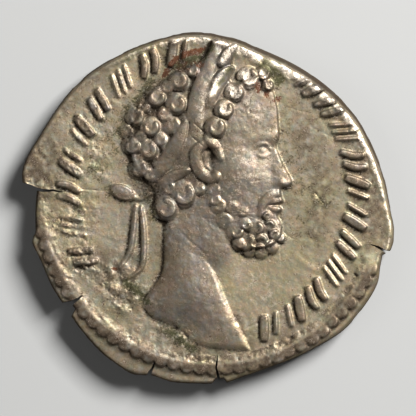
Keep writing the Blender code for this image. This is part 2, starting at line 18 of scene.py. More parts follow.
import bmesh
import bpy
import numpy as np
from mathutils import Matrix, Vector


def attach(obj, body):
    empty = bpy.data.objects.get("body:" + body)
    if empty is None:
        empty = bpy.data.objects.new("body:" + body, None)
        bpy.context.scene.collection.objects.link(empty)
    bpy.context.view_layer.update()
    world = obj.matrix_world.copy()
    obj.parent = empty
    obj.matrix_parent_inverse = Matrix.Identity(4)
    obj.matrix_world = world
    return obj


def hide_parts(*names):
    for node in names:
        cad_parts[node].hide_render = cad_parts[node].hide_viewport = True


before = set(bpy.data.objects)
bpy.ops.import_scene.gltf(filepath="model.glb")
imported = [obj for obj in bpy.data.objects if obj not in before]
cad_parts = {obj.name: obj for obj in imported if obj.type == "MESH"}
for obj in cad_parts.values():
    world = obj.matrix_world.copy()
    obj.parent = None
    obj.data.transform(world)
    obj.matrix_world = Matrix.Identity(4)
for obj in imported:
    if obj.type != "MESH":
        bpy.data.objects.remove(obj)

LOG = logging.getLogger("denarius")
METRES = 0.001
MERGE_DISTANCE = 0.0001
COIN_NODE = "denarius"
COIN_BODY = "root"

Point = tuple[float, float]
Colour = tuple[float, float, float, float]
Array = np.ndarray


# Shapes on a height map


def smooth_step(low: float, high: float, value: Array) -> Array:
    """0 below low, 1 above high, and an S-curve between them."""
    t = np.clip((value - low) / (high - low), 0.0, 1.0)
    return t * t * (3.0 - 2.0 * t)


def bell(value: Array, middle: float | Array, spread: float | Array) -> Array:
    """1 at a middle, fading to 0 on both sides of it."""
    return np.exp(-(((value - middle) / spread) ** 2))


def rounded(distance: Array, half_width: float | Array, height: float | Array) -> Array:
    """Height of a half-round ridge at a distance from its middle line."""
    return height * np.sqrt(np.clip(1.0 - (distance / half_width) ** 2, 0.0, 1.0))


def smooth_curve(points: Sequence, steps: int) -> Array:
    """Points along a Catmull-Rom curve.

    Args:
        points: The curve's own points, each of two or more numbers.
        steps: How many points to give for each stretch between two of them.

    Returns:
        The curve's points, one row each.
    """
    knots = np.array(points, float)
    padded = np.concatenate([2 * knots[:1] - knots[1:2], knots, 2 * knots[-1:] - knots[-2:-1]])
    t = np.arange(steps)[:, None] / steps
    pieces = []
    for a, b, c, d in zip(padded, padded[1:], padded[2:], padded[3:]):
        bend = 2 * a - 5 * b + 4 * c - d
        twist = 3 * b - a - 3 * c + d
        pieces.append(0.5 * (2 * b + (c - a) * t + bend * t**2 + twist * t**3))
    pieces.append(knots[-1:])
    return np.concatenate(pieces)


def polar(centre: Point, radius: float, angle: float) -> Point:
    """The point at a radius and an angle in degrees round a centre."""
    turn = math.radians(angle)
    return (centre[0] + radius * math.cos(turn), centre[1] + radius * math.sin(turn))


@dataclass(frozen=True)
class Band:
    """A band between a rise and a fall, each given by where it starts and ends."""

    rise: Point
    fall: Point

    def share(self, value: Array) -> Array:
        """1 inside the band and 0 outside it."""
        return smooth_step(*self.rise, value) * (1.0 - smooth_step(*self.fall, value))


@dataclass(frozen=True)
class Side:
    """A side of the coin: the angle of its middle and how far it spreads, in degrees."""

    middle: float
    spread: float

    def share(self, angle: Array) -> Array:
        """1 in the middle of the side, fading to 0 round it."""
        turn = (angle - self.middle + 180.0) % 360.0 - 180.0
        return bell(turn, 0.0, self.spread)


@dataclass(frozen=True)
class Ridge:
    """A half-round ridge along a smooth path, or a groove where the height is negative.

    Its width and height shrink to the given shares at its two ends.
    """

    path: tuple
    half_width: float
    height: float
    start_share: float = 1.0
    end_share: float = 1.0


@dataclass(frozen=True)
class Swell:
    """A soft hill, or a hollow where the height is negative."""

    centre: Point
    half_size: Point
    height: float
    tilt: float = 0.0

    def shares(self, x: Array, y: Array, centre: Point) -> tuple[Array, Array]:
        """How far places lie along and across the form, as shares of its half size.

        Args:
            x: The places' x.
            y: The places' y.
            centre: Where the form's centre is put.

        Returns:
            The shares along and the shares across.
        """
        dx, dy = x - centre[0], y - centre[1]
        turn = math.radians(self.tilt)
        along = (dx * math.cos(turn) + dy * math.sin(turn)) / self.half_size[0]
        across = (dy * math.cos(turn) - dx * math.sin(turn)) / self.half_size[1]
        return along, across


class HeightMap:
    """A square map of heights over the coin's plane, in millimetres."""

    SPAN = 18.8
    COUNT = 784

    def __init__(self) -> None:
        """Makes a flat map."""
        self.line = np.linspace(-self.SPAN / 2.0, self.SPAN / 2.0, self.COUNT)
        self.x, self.y = np.meshgrid(self.line, self.line)
        self.z = np.zeros_like(self.x)

    @property
    def spacing(self) -> float:
        """Distance between two neighbouring points of the map."""
        return self.SPAN / (self.COUNT - 1)

    def window(self, low: Sequence[float], high: Sequence[float], margin: float) -> tuple[slice, slice]:
        """The part of the map within a margin of a box.

        Args:
            low: The box's lowest x and y.
            high: Its highest x and y.
            margin: How far round the box the part reaches.

        Returns:
            The rows and the columns.
        """
        ends = []
        for axis in (1, 0):
            first = int((low[axis] - margin + self.SPAN / 2.0) / self.spacing)
            last = int((high[axis] + margin + self.SPAN / 2.0) / self.spacing) + 2
            ends.append(slice(max(first, 0), max(last, 0)))
        return ends[0], ends[1]

    def blurred(self, values: Array, radius: float) -> Array:
        """The values after a Gaussian blur.

        Args:
            values: Values over the whole map.
            radius: Radius of the blur.

        Returns:
            The blurred values.
        """
        wave = np.fft.fftfreq(self.COUNT, self.spacing)
        half = np.fft.rfftfreq(self.COUNT, self.spacing)
        falloff = np.exp(-2.0 * (math.pi * radius) ** 2 * (wave[:, None] ** 2 + half[None, :] ** 2))
        return np.fft.irfft2(np.fft.rfft2(values) * falloff, values.shape)

    def noise(self, seed: int, size: float, fine: float = 0.0) -> Array:
        """Even noise with a spread of 1.

        Args:
            seed: Seed of the random draw.
            size: Size of the blotches.
            fine: How much of the same noise at a quarter of the size is added.

        Returns:
            The noise over the whole map.
        """
        draw = np.random.default_rng(seed).standard_normal(self.x.shape)
        broad = self.blurred(draw, size)
        made = broad / broad.std()
        if fine:
            detail = self.blurred(draw, size / 4.0)
            made = (made + fine * detail / detail.std()) / math.hypot(1.0, fine)
        return made

    def nearest(self, window: tuple[slice, slice], path: Array) -> tuple[Array, Array]:
        """Distance from a path and share of the way along it.

        Args:
            window: The part of the map to work on.
            path: The path's points, one row each.

        Returns:
            The distances, and the shares from 0 to 1.
        """
        x, y = self.x[window], self.y[window]
        away = np.full_like(x, np.inf)
        share = np.zeros_like(x)
        for number, (start, end) in enumerate(zip(path, path[1:])):
            run = end - start
            ahead = (x - start[0]) * run[0] + (y - start[1]) * run[1]
            along = np.clip(ahead / max(run @ run, 1e-12), 0.0, 1.0)
            found = np.hypot(x - start[0] - along * run[0], y - start[1] - along * run[1])
            closer = found < away
            away = np.where(closer, found, away)
            share = np.where(closer, (number + along) / (len(path) - 1), share)
        return away, share

    def add_ridge(self, ridge: Ridge, place: Callable = lambda *point: point) -> None:
        """Adds a ridge or groove.

        Args:
            ridge: The ridge, or a groove where its height is negative.
            place: Gives the place on the map of one of its points.
        """
        path = smooth_curve([place(*point) for point in ridge.path], 6)
        window = self.window(path.min(axis=0), path.max(axis=0), ridge.half_width * 1.2)
        away, share = self.nearest(window, path)
        taper = np.interp(share, (0.0, 0.35, 0.65, 1.0), (ridge.start_share, 1.0, 1.0, ridge.end_share))
        self.z[window] += rounded(away, ridge.half_width * taper, ridge.height * taper)

    def add_swell(self, swell: Swell, place: Callable = lambda *point: point) -> None:
        """Adds a soft hill or hollow.

        Args:
            swell: The hill, or a hollow where its height is negative.
            place: Gives the place on the map of its centre.
        """
        centre = place(*swell.centre)
        window = self.window(centre, centre, 2.6 * max(swell.half_size))
        along, across = swell.shares(self.x[window], self.y[window], centre)
        self.z[window] += swell.height * np.exp(-(along**2) - across**2)

    def add(self, forms: Sequence, place: Callable = lambda *point: point) -> None:
        """Adds several ridges and swells.

        Args:
            forms: The ridges and swells.
            place: Gives the place on the map of one of their points.
        """
        for form in forms:
            add_one = self.add_ridge if isinstance(form, Ridge) else self.add_swell
            add_one(form, place)

    def alone(self, forms: Sequence, place: Callable = lambda *point: point) -> Array:
        """The heights of several ridges and swells on a flat map.

        Args:
            forms: The ridges and swells.
            place: Gives the place on the map of one of their points.

        Returns:
            Their heights.
        """
        self.z = np.zeros_like(self.x)
        self.add(forms, place)
        return self.z

    def depth_inside(self, outline: Array) -> Array:
        """Distance in from a closed outline.

        Args:
            outline: The outline's points, one row each.

        Returns:
            The distances over the whole map, negative outside the outline.
        """
        ring = np.vstack([outline, outline[:1]])
        inside = np.zeros(self.x.shape, bool)
        for (x0, y0), (x1, y1) in zip(ring, ring[1:]):
            rows = (self.line >= min(y0, y1)) & (self.line < max(y0, y1))
            cross = x0 + (x1 - x0) * (self.line[rows] - y0) / (y1 - y0 if y1 != y0 else 1.0)
            inside[rows] ^= self.line[None, :] < cross[:, None]
        depth = np.full(self.x.shape, -1.0)
        window = self.window(ring.min(axis=0), ring.max(axis=0), 0.4)
        away, _ = self.nearest(window, ring)
        depth[window] = np.where(inside[window], away, -away)
        return depth

    def sample(self, values: Array, x: Array, y: Array) -> Array:
        """The values at any places, between the map's points.

        Args:
            values: Values over the whole map.
            x: The places' x.
            y: The places' y.

        Returns:
            The values there.
        """
        column = np.clip((x + self.SPAN / 2.0) / self.spacing, 0.0, self.COUNT - 1.001)
        row = np.clip((y + self.SPAN / 2.0) / self.spacing, 0.0, self.COUNT - 1.001)
        i, j = row.astype(int), column.astype(int)
        u, v = row - i, column - j
        low = values[i, j] * (1.0 - v) + values[i, j + 1] * v
        high = values[i + 1, j] * (1.0 - v) + values[i + 1, j + 1] * v
        return low * (1.0 - u) + high * u


# Node trees


class Socket:
    """An output of a node that takes part in sums."""

    def __init__(self, board: "NodeBoard", output: bpy.types.NodeSocket) -> None:
        """Keeps the output and the board that it belongs to."""
        self.board = board
        self.output = output

    def __add__(self, other: "Socket | float") -> "Socket":
        """This plus another."""
        return self.board.maths("ADD", self, other)

    def __sub__(self, other: "Socket | float") -> "Socket":
        """This minus another."""
        return self.board.maths("SUBTRACT", self, other)

    def __rsub__(self, other: float) -> "Socket":
        """A number minus this."""
        return self.board.maths("SUBTRACT", other, self)

    def __mul__(self, other: "Socket | float") -> "Socket":
        """This times another."""
        return self.board.maths("MULTIPLY", self, other)

    def __truediv__(self, other: "Socket | float") -> "Socket":
        """This divided by another."""
        return self.board.maths("DIVIDE", self, other)

    def __pow__(self, other: "Socket | float") -> "Socket":
        """This to a power."""
        return self.board.maths("POWER", self, other)

    __radd__ = __add__
    __rmul__ = __mul__


class NodeBoard:
    """Builds one node tree, for a material or for geometry."""

    def __init__(self, tree: bpy.types.NodeTree) -> None:
        """Keeps the tree."""
        self.tree = tree

    def node(self, kind: str, settings: dict | None = None, inputs: dict | None = None) -> bpy.types.Node:
        """Adds a node.

        Args:
            kind: The node's type name.
            settings: Its properties, set first.
            inputs: Values, Sockets or node outputs, by socket name or number.

        Returns:
            The new node.
        """
        made = self.tree.nodes.new(kind)
        for name, value in (settings or {}).items():
            setattr(made, name, value)
        for name, value in (inputs or {}).items():
            self.feed(made.inputs[name], value)
        return made

    def feed(self, socket: bpy.types.NodeSocket, value: object) -> None:
        """Links or sets one input.

        Args:
            socket: The input.
            value: A Socket or a node's output, which is linked, or a value, which is set.
        """
        if isinstance(value, Socket):
            self.tree.links.new(value.output, socket)
        elif isinstance(value, bpy.types.NodeSocket):
            self.tree.links.new(value, socket)
        else:
            socket.default_value = value

    def maths(self, operation: str, *values: object, clamp: bool = False) -> Socket:
        """A Math node on two or three values."""
        settings = {"operation": operation, "use_clamp": clamp}
        return self.wrap(self.node("ShaderNodeMath", settings, dict(enumerate(values))).outputs[0])

    def vector(self, **parts: object) -> bpy.types.NodeSocket:
        """A vector put together from X, Y and Z, each 0 where it isn't given."""
        return self.node("ShaderNodeCombineXYZ", inputs=parts).outputs[0]

    def wrap(self, output: bpy.types.NodeSocket) -> Socket:
        """An output as a Socket."""
        return Socket(self, output)


class ShaderBoard(NodeBoard):
    """Builds the node tree of a material round its Principled shader."""

    def __init__(self, name: str) -> None:
        """Makes a new material."""
        self.material = bpy.data.materials.new(name)
        self.material.use_nodes = True
        super().__init__(self.material.node_tree)
        self.shader = self.tree.nodes["Principled BSDF"]

    def dress(self, inputs: dict[str, object]) -> bpy.types.Material:
        """Feeds the shader.

        Args:
            inputs: Values, Sockets or node outputs, by the shader's input.

        Returns:
            The material.
        """
        for name, value in inputs.items():
            self.feed(self.shader.inputs[name], value)
        return self.material

    def carried(self, label: str) -> Socket:
        """A number that the mesh's points carry."""
        return self.wrap(self.node("ShaderNodeAttribute", {"attribute_name": label}).outputs["Fac"])

    def noise(self, scale: float, detail: float) -> Socket:
        """Noise around one half, laid on the object itself.

        Args:
            scale: How many blotches there are in a metre.
            detail: How many finer noises are added to it.

        Returns:
            The noise.
        """
        place = self.node("ShaderNodeTexCoord").outputs["Object"]
        made = self.node("ShaderNodeTexNoise", inputs={"Vector": place, "Scale": scale, "Detail": detail})
        return self.wrap(made.outputs["Fac"])

    def above(self, value: Socket, level: float, gain: float) -> Socket:
        """0 up to a level, then rising to 1."""
        return self.maths("MULTIPLY", value - level, gain, clamp=True)

    def most(self, first: Socket, *others: Socket) -> Socket:
        """The highest of several values."""
        return functools.reduce(functools.partial(self.maths, "MAXIMUM"), others, first)

    def blend(self, share: Socket, first: object, second: object) -> bpy.types.NodeSocket:
        """One colour going over into another."""
        made = self.node("ShaderNodeMix", {"data_type": "RGBA"}, {0: share, 6: first, 7: second})
        return made.outputs[2]

    def tint(self, share: Socket | float, colour: object, tint: object) -> bpy.types.NodeSocket:
        """A colour multiplied by another."""
        settings = {"data_type": "RGBA", "blend_type": "MULTIPLY"}
        return self.node("ShaderNodeMix", settings, {0: share, 6: colour, 7: tint}).outputs[2]


class GeometryTree(NodeBoard):
    """A Geometry Nodes tree with named inputs, that ends in Realize Instances and Set Material."""

    SOCKETS = {int: "NodeSocketInt", float: "NodeSocketFloat", tuple: "NodeSocketVector",
               bpy.types.Object: "NodeSocketObject"}

    def __init__(self, name: str, inputs: dict[str, object]) -> None:
        """Makes an empty tree.

        Args:
            name: Name of the node group.
            inputs: The inputs' values by name. A value's type gives the type of its socket.
        """
        super().__init__(bpy.data.node_groups.new(name, "GeometryNodeTree"))
        face = self.tree.interface
        face.new_socket("Geometry", in_out="INPUT", socket_type="NodeSocketGeometry")
        face.new_socket("Geometry", in_out="OUTPUT", socket_type="NodeSocketGeometry")
        self.values = inputs
        for label, value in inputs.items():
            face.new_socket(label, in_out="INPUT", socket_type=self.SOCKETS[type(value)])
        self.entry = self.node("NodeGroupInput")

    def input(self, label: str) -> Socket:
        """One of the tree's inputs."""
        return self.wrap(self.entry.outputs[label])

    def carried(self, label: str) -> Socket:
        """A number that the points carry."""
        reader = self.node("GeometryNodeInputNamedAttribute", {"data_type": "FLOAT"}, {"Name": label})
        return self.wrap(reader.outputs[0])

    def drawn(self, low: Socket, high: Socket, seed: Socket) -> Socket:
        """A random number for each point."""
        draw = self.node("FunctionNodeRandomValue", {"data_type": "FLOAT"}, {2: low, 3: high, "Seed": seed})
        return self.wrap(draw.outputs[1])

    def along(self) -> Socket:
        """The share of the way along a curve."""
        return self.wrap(self.node("GeometryNodeSplineParameter").outputs["Factor"])

    def rolled(self, curve: bpy.types.NodeSocket, radius: object) -> bpy.types.NodeSocket:
        """A round roll with closed ends along a curve.

        Args:
            curve: The curve.
            radius: The roll's radius, which may change along the curve.

        Returns:
            The roll's geometry.
        """
        section = self.node("GeometryNodeCurvePrimitiveCircle", inputs={"Resolution": 12, "Radius": 1.0})
        roll = self.node("GeometryNodeCurveToMesh", inputs={
            "Curve": curve, "Profile Curve": section.outputs[0], "Scale": radius, "Fill Caps": True})
        return roll.outputs[0]

    def raised(self, geometry: bpy.types.NodeSocket, height: object) -> bpy.types.NodeSocket:
        """The geometry with its heights multiplied."""
        scale = self.vector(X=1.0, Y=1.0, Z=height)
        return self.node("GeometryNodeTransform", inputs={"Geometry": geometry, "Scale": scale}).outputs[0]

    def finish(self, geometry: bpy.types.NodeSocket, material: bpy.types.Material) -> None:
        """Ends the tree with real geometry in one material.

        Args:
            geometry: What the tree has made.
            material: The material that it gets.
        """
        real = self.node("GeometryNodeRealizeInstances", inputs={"Geometry": geometry})
        dressed = self.node("GeometryNodeSetMaterial", inputs={
            "Geometry": real.outputs[0], "Material": material})
        self.node("NodeGroupOutput", inputs={"Geometry": dressed.outputs[0]})

    def run(self, host: bpy.types.Object) -> bpy.types.Mesh:
        """Runs the tree on an object and gives the result as a plain mesh. The object goes.

        Args:
            host: The object whose geometry enters the tree.

        Returns:
            The evaluated mesh.
        """
        modifier = host.modifiers.new(self.tree.name, "NODES")
        modifier.node_group = self.tree
        for item in self.tree.interface.items_tree:
            if item.in_out == "INPUT" and item.name in self.values:
                modifier[item.identifier] = self.values[item.name]
        mesh = evaluated_mesh(host)
        bpy.data.node_groups.remove(self.tree)
        return mesh


def evaluated_mesh(obj: bpy.types.Object) -> bpy.types.Mesh:
    """The object's mesh with its modifiers applied.

    Args:
        obj: The object, which is removed.

    Returns:
        The mesh.
    """
    graph = bpy.context.evaluated_depsgraph_get()
    mesh = bpy.data.meshes.new_from_object(obj.evaluated_get(graph))
    old = obj.data
    bpy.data.objects.remove(obj)
    if old.users == 0:
        bpy.data.meshes.remove(old)
    return mesh


def mesh_points(mesh: bpy.types.Mesh) -> Array:
    """The places of the mesh's points.

    Args:
        mesh: The mesh.

    Returns:
        The places, one row each.
    """
    points = np.empty(len(mesh.vertices) * 3, np.float32)
    mesh.vertices.foreach_get("co", points)
    return points.reshape(-1, 3).astype(float)


def in_order(mesh: bpy.types.Mesh) -> bpy.types.Mesh:
    """The same mesh with its faces in a fixed order, since a boolean gives them in a new one each time.

    Args:
        mesh: The mesh, which is removed.

    Returns:
        The mesh in order.
    """
    faces = []
    for polygon in mesh.polygons:
        corners = list(polygon.vertices)
        start = corners.index(min(corners))
        faces.append(corners[start:] + corners[:start])
    made = bpy.data.meshes.new(mesh.name)
    made.from_pydata(mesh_points(mesh), [], sorted(faces))
    bpy.data.meshes.remove(mesh)
    return made


def store(mesh: bpy.types.Mesh, label: str, values: Sequence) -> None:
    """Stores a number for each point of a mesh."""
    layer = mesh.attributes.new(label, "FLOAT", "POINT")
    layer.data.foreach_set("value", np.asarray(values, np.float32))


def new_object(name: str, data: bpy.types.ID) -> bpy.types.Object:
    """A new object in the scene.

    Args:
        name: The object's name.
        data: Its mesh, camera or light.

    Returns:
        The object.
    """
    made = bpy.data.objects.new(name, data)
    bpy.context.scene.collection.objects.link(made)
    return made


def points_object(name: str, points: Sequence, edges: Sequence = (), **attributes: Array) -> bpy.types.Object:
    """An object of points that carry named numbers.

    Args:
        name: The object's name.
        points: The points.
        edges: Pairs of points that are joined.
        attributes: The numbers of the points, by name.

    Returns:
        The object.
    """
    mesh = bpy.data.meshes.new(name)
    mesh.from_pydata([tuple(point) for point in points], edges, [])
    for label, values in attributes.items():
        store(mesh, label, values)
    return new_object(name, mesh)


# Punches


@dataclass(frozen=True)
class BeadPunch:
    """A ring of domed beads, each a little different."""

    centre: Point
    radius: float
    count: int
    bead_radius: float
    height: float
    spread: float
    stray: float
    seed: int

    def mesh(self, material: bpy.types.Material) -> bpy.types.Mesh:
        """The beads as domes on the plane z = 0.

        Args:
            material: The material that the tree sets.

        Returns:
            One mesh of all the beads.
        """
        tree = GeometryTree("bead_ring", {
            "Centre": (*self.centre, 0.0),
            "Ring Radius": self.radius,
            "Bead Count": self.count,
            "Bead Radius": self.bead_radius,
            "Bead Height": self.height,
            "Spread": self.spread,
            "Stray": self.stray,
            "Seed": self.seed,
        })
        stray, spread, seed = tree.input("Stray"), tree.input("Spread"), tree.input("Seed")
        ring = tree.node("GeometryNodeCurvePrimitiveCircle", inputs={
            "Resolution": tree.input("Bead Count"), "Radius": tree.input("Ring Radius")})
        moved = tree.node("GeometryNodeTransform", inputs={
            "Geometry": ring.outputs[0], "Translation": tree.input("Centre")})
        points = tree.node("GeometryNodeCurveToPoints", {"mode": "EVALUATED"}, {"Curve": moved.outputs[0]})
        aside = [tree.drawn(stray * -1.0, stray, source) for source in (seed, seed + 1.0)]
        strayed = tree.node("GeometryNodeSetPosition", inputs={
            "Geometry": points.outputs["Points"], "Offset": tree.vector(X=aside[0], Y=aside[1])})
        bead = tree.node("GeometryNodeMeshUVSphere", inputs={"Segments": 20, "Rings": 12, "Radius": 1.0})
        size = tree.drawn(1.0 - spread, spread + 1.0, seed)
        wide = size * tree.input("Bead Radius")
        scale = tree.vector(X=wide, Y=wide, Z=size * tree.input("Bead Height"))
        laid = tree.node("GeometryNodeInstanceOnPoints", inputs={
            "Points": strayed.outputs[0], "Instance": bead.outputs[0], "Scale": scale})
        tree.finish(laid.outputs[0], material)
        return tree.run(points_object("bead_host", [(0.0, 0.0, 0.0)]))


@dataclass(frozen=True)
class LockPunch:
    """Snail-shaped locks: a ball that carries a tapering roll, which winds round an off-centre pit."""

    places: tuple
    height: float
    ball_share: float = 0.54
    turns: float = 0.90
    start_radius: float = 0.66
    end_radius: float = 0.28
    roll: float = 0.32

    def mesh(self, material: bpy.types.Material) -> bpy.types.Mesh:
        """The locks as rolls that lie on the plane z = 0.

        Args:
            material: The material that the tree sets.

        Returns:
            One mesh of all the locks.
        """
        tree = GeometryTree("snail_locks", {
            "Turns": self.turns,
            "Start Radius": self.start_radius,
            "End Radius": self.end_radius,
            "Roll Radius": self.roll,
            "Ball Height": self.height * self.ball_share,
            "Roll Height": self.height,
        })
        spiral = tree.node("GeometryNodeCurveSpiral", inputs={
            "Resolution": 24, "Rotations": tree.input("Turns"), "Start Radius": tree.input("Start Radius"),
            "End Radius": tree.input("End Radius"), "Height": 0.0})
        taper = tree.maths("SINE", (tree.along() * 0.62 + 0.26) * math.pi)
        thick = tree.node("GeometryNodeSetCurveRadius", inputs={
            "Curve": spiral.outputs[0], "Radius": taper * tree.input("Roll Radius")})
        roll = tree.rolled(thick.outputs[0], tree.node("GeometryNodeInputRadius").outputs[0])
        ball = tree.node("GeometryNodeMeshUVSphere", inputs={"Segments": 24, "Rings": 12, "Radius": 1.0})
        both = tree.node("GeometryNodeJoinGeometry")
        tree.feed(both.inputs[0], tree.raised(ball.outputs[0], tree.input("Ball Height")))
        tree.feed(both.inputs[0], tree.raised(roll, tree.input("Roll Height") / self.roll))
        size = tree.carried("size")
        laid = tree.node("GeometryNodeInstanceOnPoints", inputs={
            "Points": tree.entry.outputs["Geometry"], "Instance": both.outputs[0],
            "Rotation": tree.vector(Z=tree.carried("turn")),
            "Scale": tree.vector(X=size, Y=size * tree.carried("hand"), Z=1.0)})
        tree.finish(laid.outputs[0], material)
        x, y, sizes, turns, hands = np.array(self.places, float).T
        places = np.column_stack([x, y, np.zeros_like(x)])
        return tree.run(points_object("lock_host", places, size=sizes, turn=np.radians(turns), hand=hands))


class Mark(Enum):
    """The bars that take the place of an inscription. None is a letter.

    Each bar is a path in the mark's own plane and a share of the bars' width.
    """

    PAIR = ((((-0.43, -0.46), (-0.05, 0.46)), 1.05), (((0.05, -0.46), (0.43, 0.46)), 1.05))
    TRIO = ((((-0.49, -0.44), (-0.13, 0.46)), 0.66), (((-0.18, -0.46), (0.18, 0.46)), 0.66),
            (((0.13, -0.46), (0.49, 0.44)), 0.66))
    BOWED = ((((-0.42, -0.46), (-0.14, 0.02), (-0.06, 0.46)), 1.05),
             (((0.07, -0.46), (0.35, 0.02), (0.43, 0.46)), 1.05))
    UNEVEN = ((((-0.44, -0.48), (-0.04, 0.48)), 1.30), (((0.10, -0.42), (0.44, 0.42)), 0.74))
    UNEVEN_BACK = ((((-0.45, -0.42), (-0.11, 0.42)), 0.74), (((0.03, -0.48), (0.43, 0.48)), 1.30))


@dataclass(frozen=True)
class StrokePunch:
    """A ring of bars laid round a centre, made as curves that thin out at their ends.

    Each arc has its first and last angle and its number of marks.
    """

    centre: Point
    radius: float
    arcs: tuple
    length: float
    half_width: float
    height: float
    middle_width: float = 1.05
    end_loss: float = 0.25

    def bars(self) -> list[tuple[Array, float]]:
        """The bars on the coin.

        Returns:
            Each bar's path and its share of the width.
        """
        marks = list(Mark)
        bars = []
        number = 0
        for first, last, count in self.arcs:
            for step in range(count):
                angle = first + (last - first) * step / (count - 1)
                turn = math.radians(angle - 90.0)
                spin = np.array(((math.cos(turn), math.sin(turn)), (-math.sin(turn), math.cos(turn))))
                place = np.array(polar(self.centre, self.radius, angle))
                for bar, width in marks[number % len(marks)].value:
                    bars.append(((smooth_curve(np.array(bar) * self.length, 5) @ spin) + place, width))
                number += 1
        return bars

    def mesh(self, material: bpy.types.Material) -> bpy.types.Mesh:
        """The bars as half-round rolls on the plane z = 0.

        Args:
            material: The material that the tree sets.

        Returns:
            One mesh of all the bars.
        """
        tree = GeometryTree("stroke_ring", {
            "Half Width": self.half_width,
            "Height": self.height,
        })
        loss = ((tree.along() * 2.0 - 1.0) ** 2.0) * self.end_loss
        slim = (self.middle_width - loss) * tree.carried("width")
        curve = tree.node("GeometryNodeMeshToCurve", inputs={"Mesh": tree.entry.outputs["Geometry"]})
        roll = tree.rolled(curve.outputs[0], slim * tree.input("Half Width"))
        flat = tree.raised(roll, tree.input("Height") / tree.input("Half Width"))
        tree.finish(flat, material)
        points = []
        edges = []
        widths = []
        for path, width in self.bars():
            first = len(points)
            points.extend((x, y, 0.0) for x, y in path)
            widths.extend([width] * len(path))
            edges.extend((first + i, first + i + 1) for i in range(len(path) - 1))
        return tree.run(points_object("stroke_host", points, edges, width=widths))


class Press:
    """Presses punches into a height map: each point of the map takes the height of the punch over it.

    The height is found with a ray that starts over the map and looks down through the punch.
    """

    start = 2.0
    reach = 5.0

    def __init__(self, chart: HeightMap, material: bpy.types.Material) -> None:
        """Keeps the map and the material that the trees set."""
        self.chart = chart
        self.material = material

    def height_of(self, punch: BeadPunch | LockPunch | StrokePunch) -> Array:
        """The height of a punch over every point of the map.

        Args:
            punch: The punch.

        Returns:
            The heights, 0 where there is no punch.
        """
        tool = new_object("punch", punch.mesh(self.material))
        tree = GeometryTree("press", {
            "Punch": tool,
            "Start": (0.0, 0.0, self.start),
            "Reach": self.reach,
        })
        target = tree.node("GeometryNodeObjectInfo", inputs={"Object": tree.input("Punch")})
        place = tree.node("GeometryNodeInputPosition")
        above = tree.node("ShaderNodeVectorMath", {"operation": "ADD"}, {
            0: place.outputs[0], 1: tree.input("Start")})
        ray = tree.node("GeometryNodeRaycast", inputs={
            "Target Geometry": target.outputs["Geometry"], "Source Position": above.outputs[0],
            "Ray Direction": (0.0, 0.0, -1.0), "Ray Length": tree.input("Reach")})
        moved = tree.node("GeometryNodeSetPosition", inputs={
            "Geometry": tree.entry.outputs["Geometry"], "Selection": ray.outputs["Is Hit"],
            "Position": ray.outputs["Hit Position"]})
        tree.finish(moved.outputs[0], self.material)
        plate = bpy.data.meshes.new("plate")
        plate.vertices.add(self.chart.x.size)
        flat = np.zeros((self.chart.x.size, 3), np.float32)
        flat[:, 0] = self.chart.x.ravel()
        flat[:, 1] = self.chart.y.ravel()
        plate.vertices.foreach_set("co", flat.ravel())
        mesh = tree.run(new_object("plate", plate))
        height = mesh_points(mesh)[:, 2].reshape(self.chart.x.shape)
        bpy.data.meshes.remove(mesh)
        bpy.data.objects.remove(tool)
        return np.maximum(height, 0.0)


# The flan


@dataclass(frozen=True)
class Crack:
    """A crack that runs in from the edge, with crooked banks."""

    angle: float
    reach: float
    width: float
    lean: float = 0.0
    outside: float = 0.9
    steps: int = 13
    narrowing: float = 0.6
    flare: float = 0.25
    sway: float = 0.022
    uneven: Point = (0.75, 1.25)

    def plan(self, edge: float, draw: np.random.Generator) -> Array:
        """The crack's outline in the coin's plane.

        Args:
            edge: Radius of the coin at the crack.
            draw: Source of the crookedness.

        Returns:
            The outline's points, one row each.
        """
        depth = np.linspace(-self.outside, self.reach, self.steps)
        mouth = 0.5 * self.width * np.clip(1.0 - depth / self.reach, 0.0, 1.0) ** self.narrowing
        half = mouth + self.flare * np.clip(-depth, 0.0, None)
        middle = np.cumsum(draw.normal(0.0, self.sway, self.steps)) + self.lean * np.clip(depth, 0.0, None)
        left = middle + half * draw.uniform(*self.uneven, self.steps)
        right = middle - half * draw.uniform(*self.uneven, self.steps)
        along = np.concatenate([edge - depth, (edge - depth)[-2::-1]])
        across = np.concatenate([left, right[-2::-1]])
        turn = math.radians(self.angle)
        x = along * math.cos(turn) - across * math.sin(turn)
        y = along * math.sin(turn) + across * math.cos(turn)
        return np.column_stack([x, y])


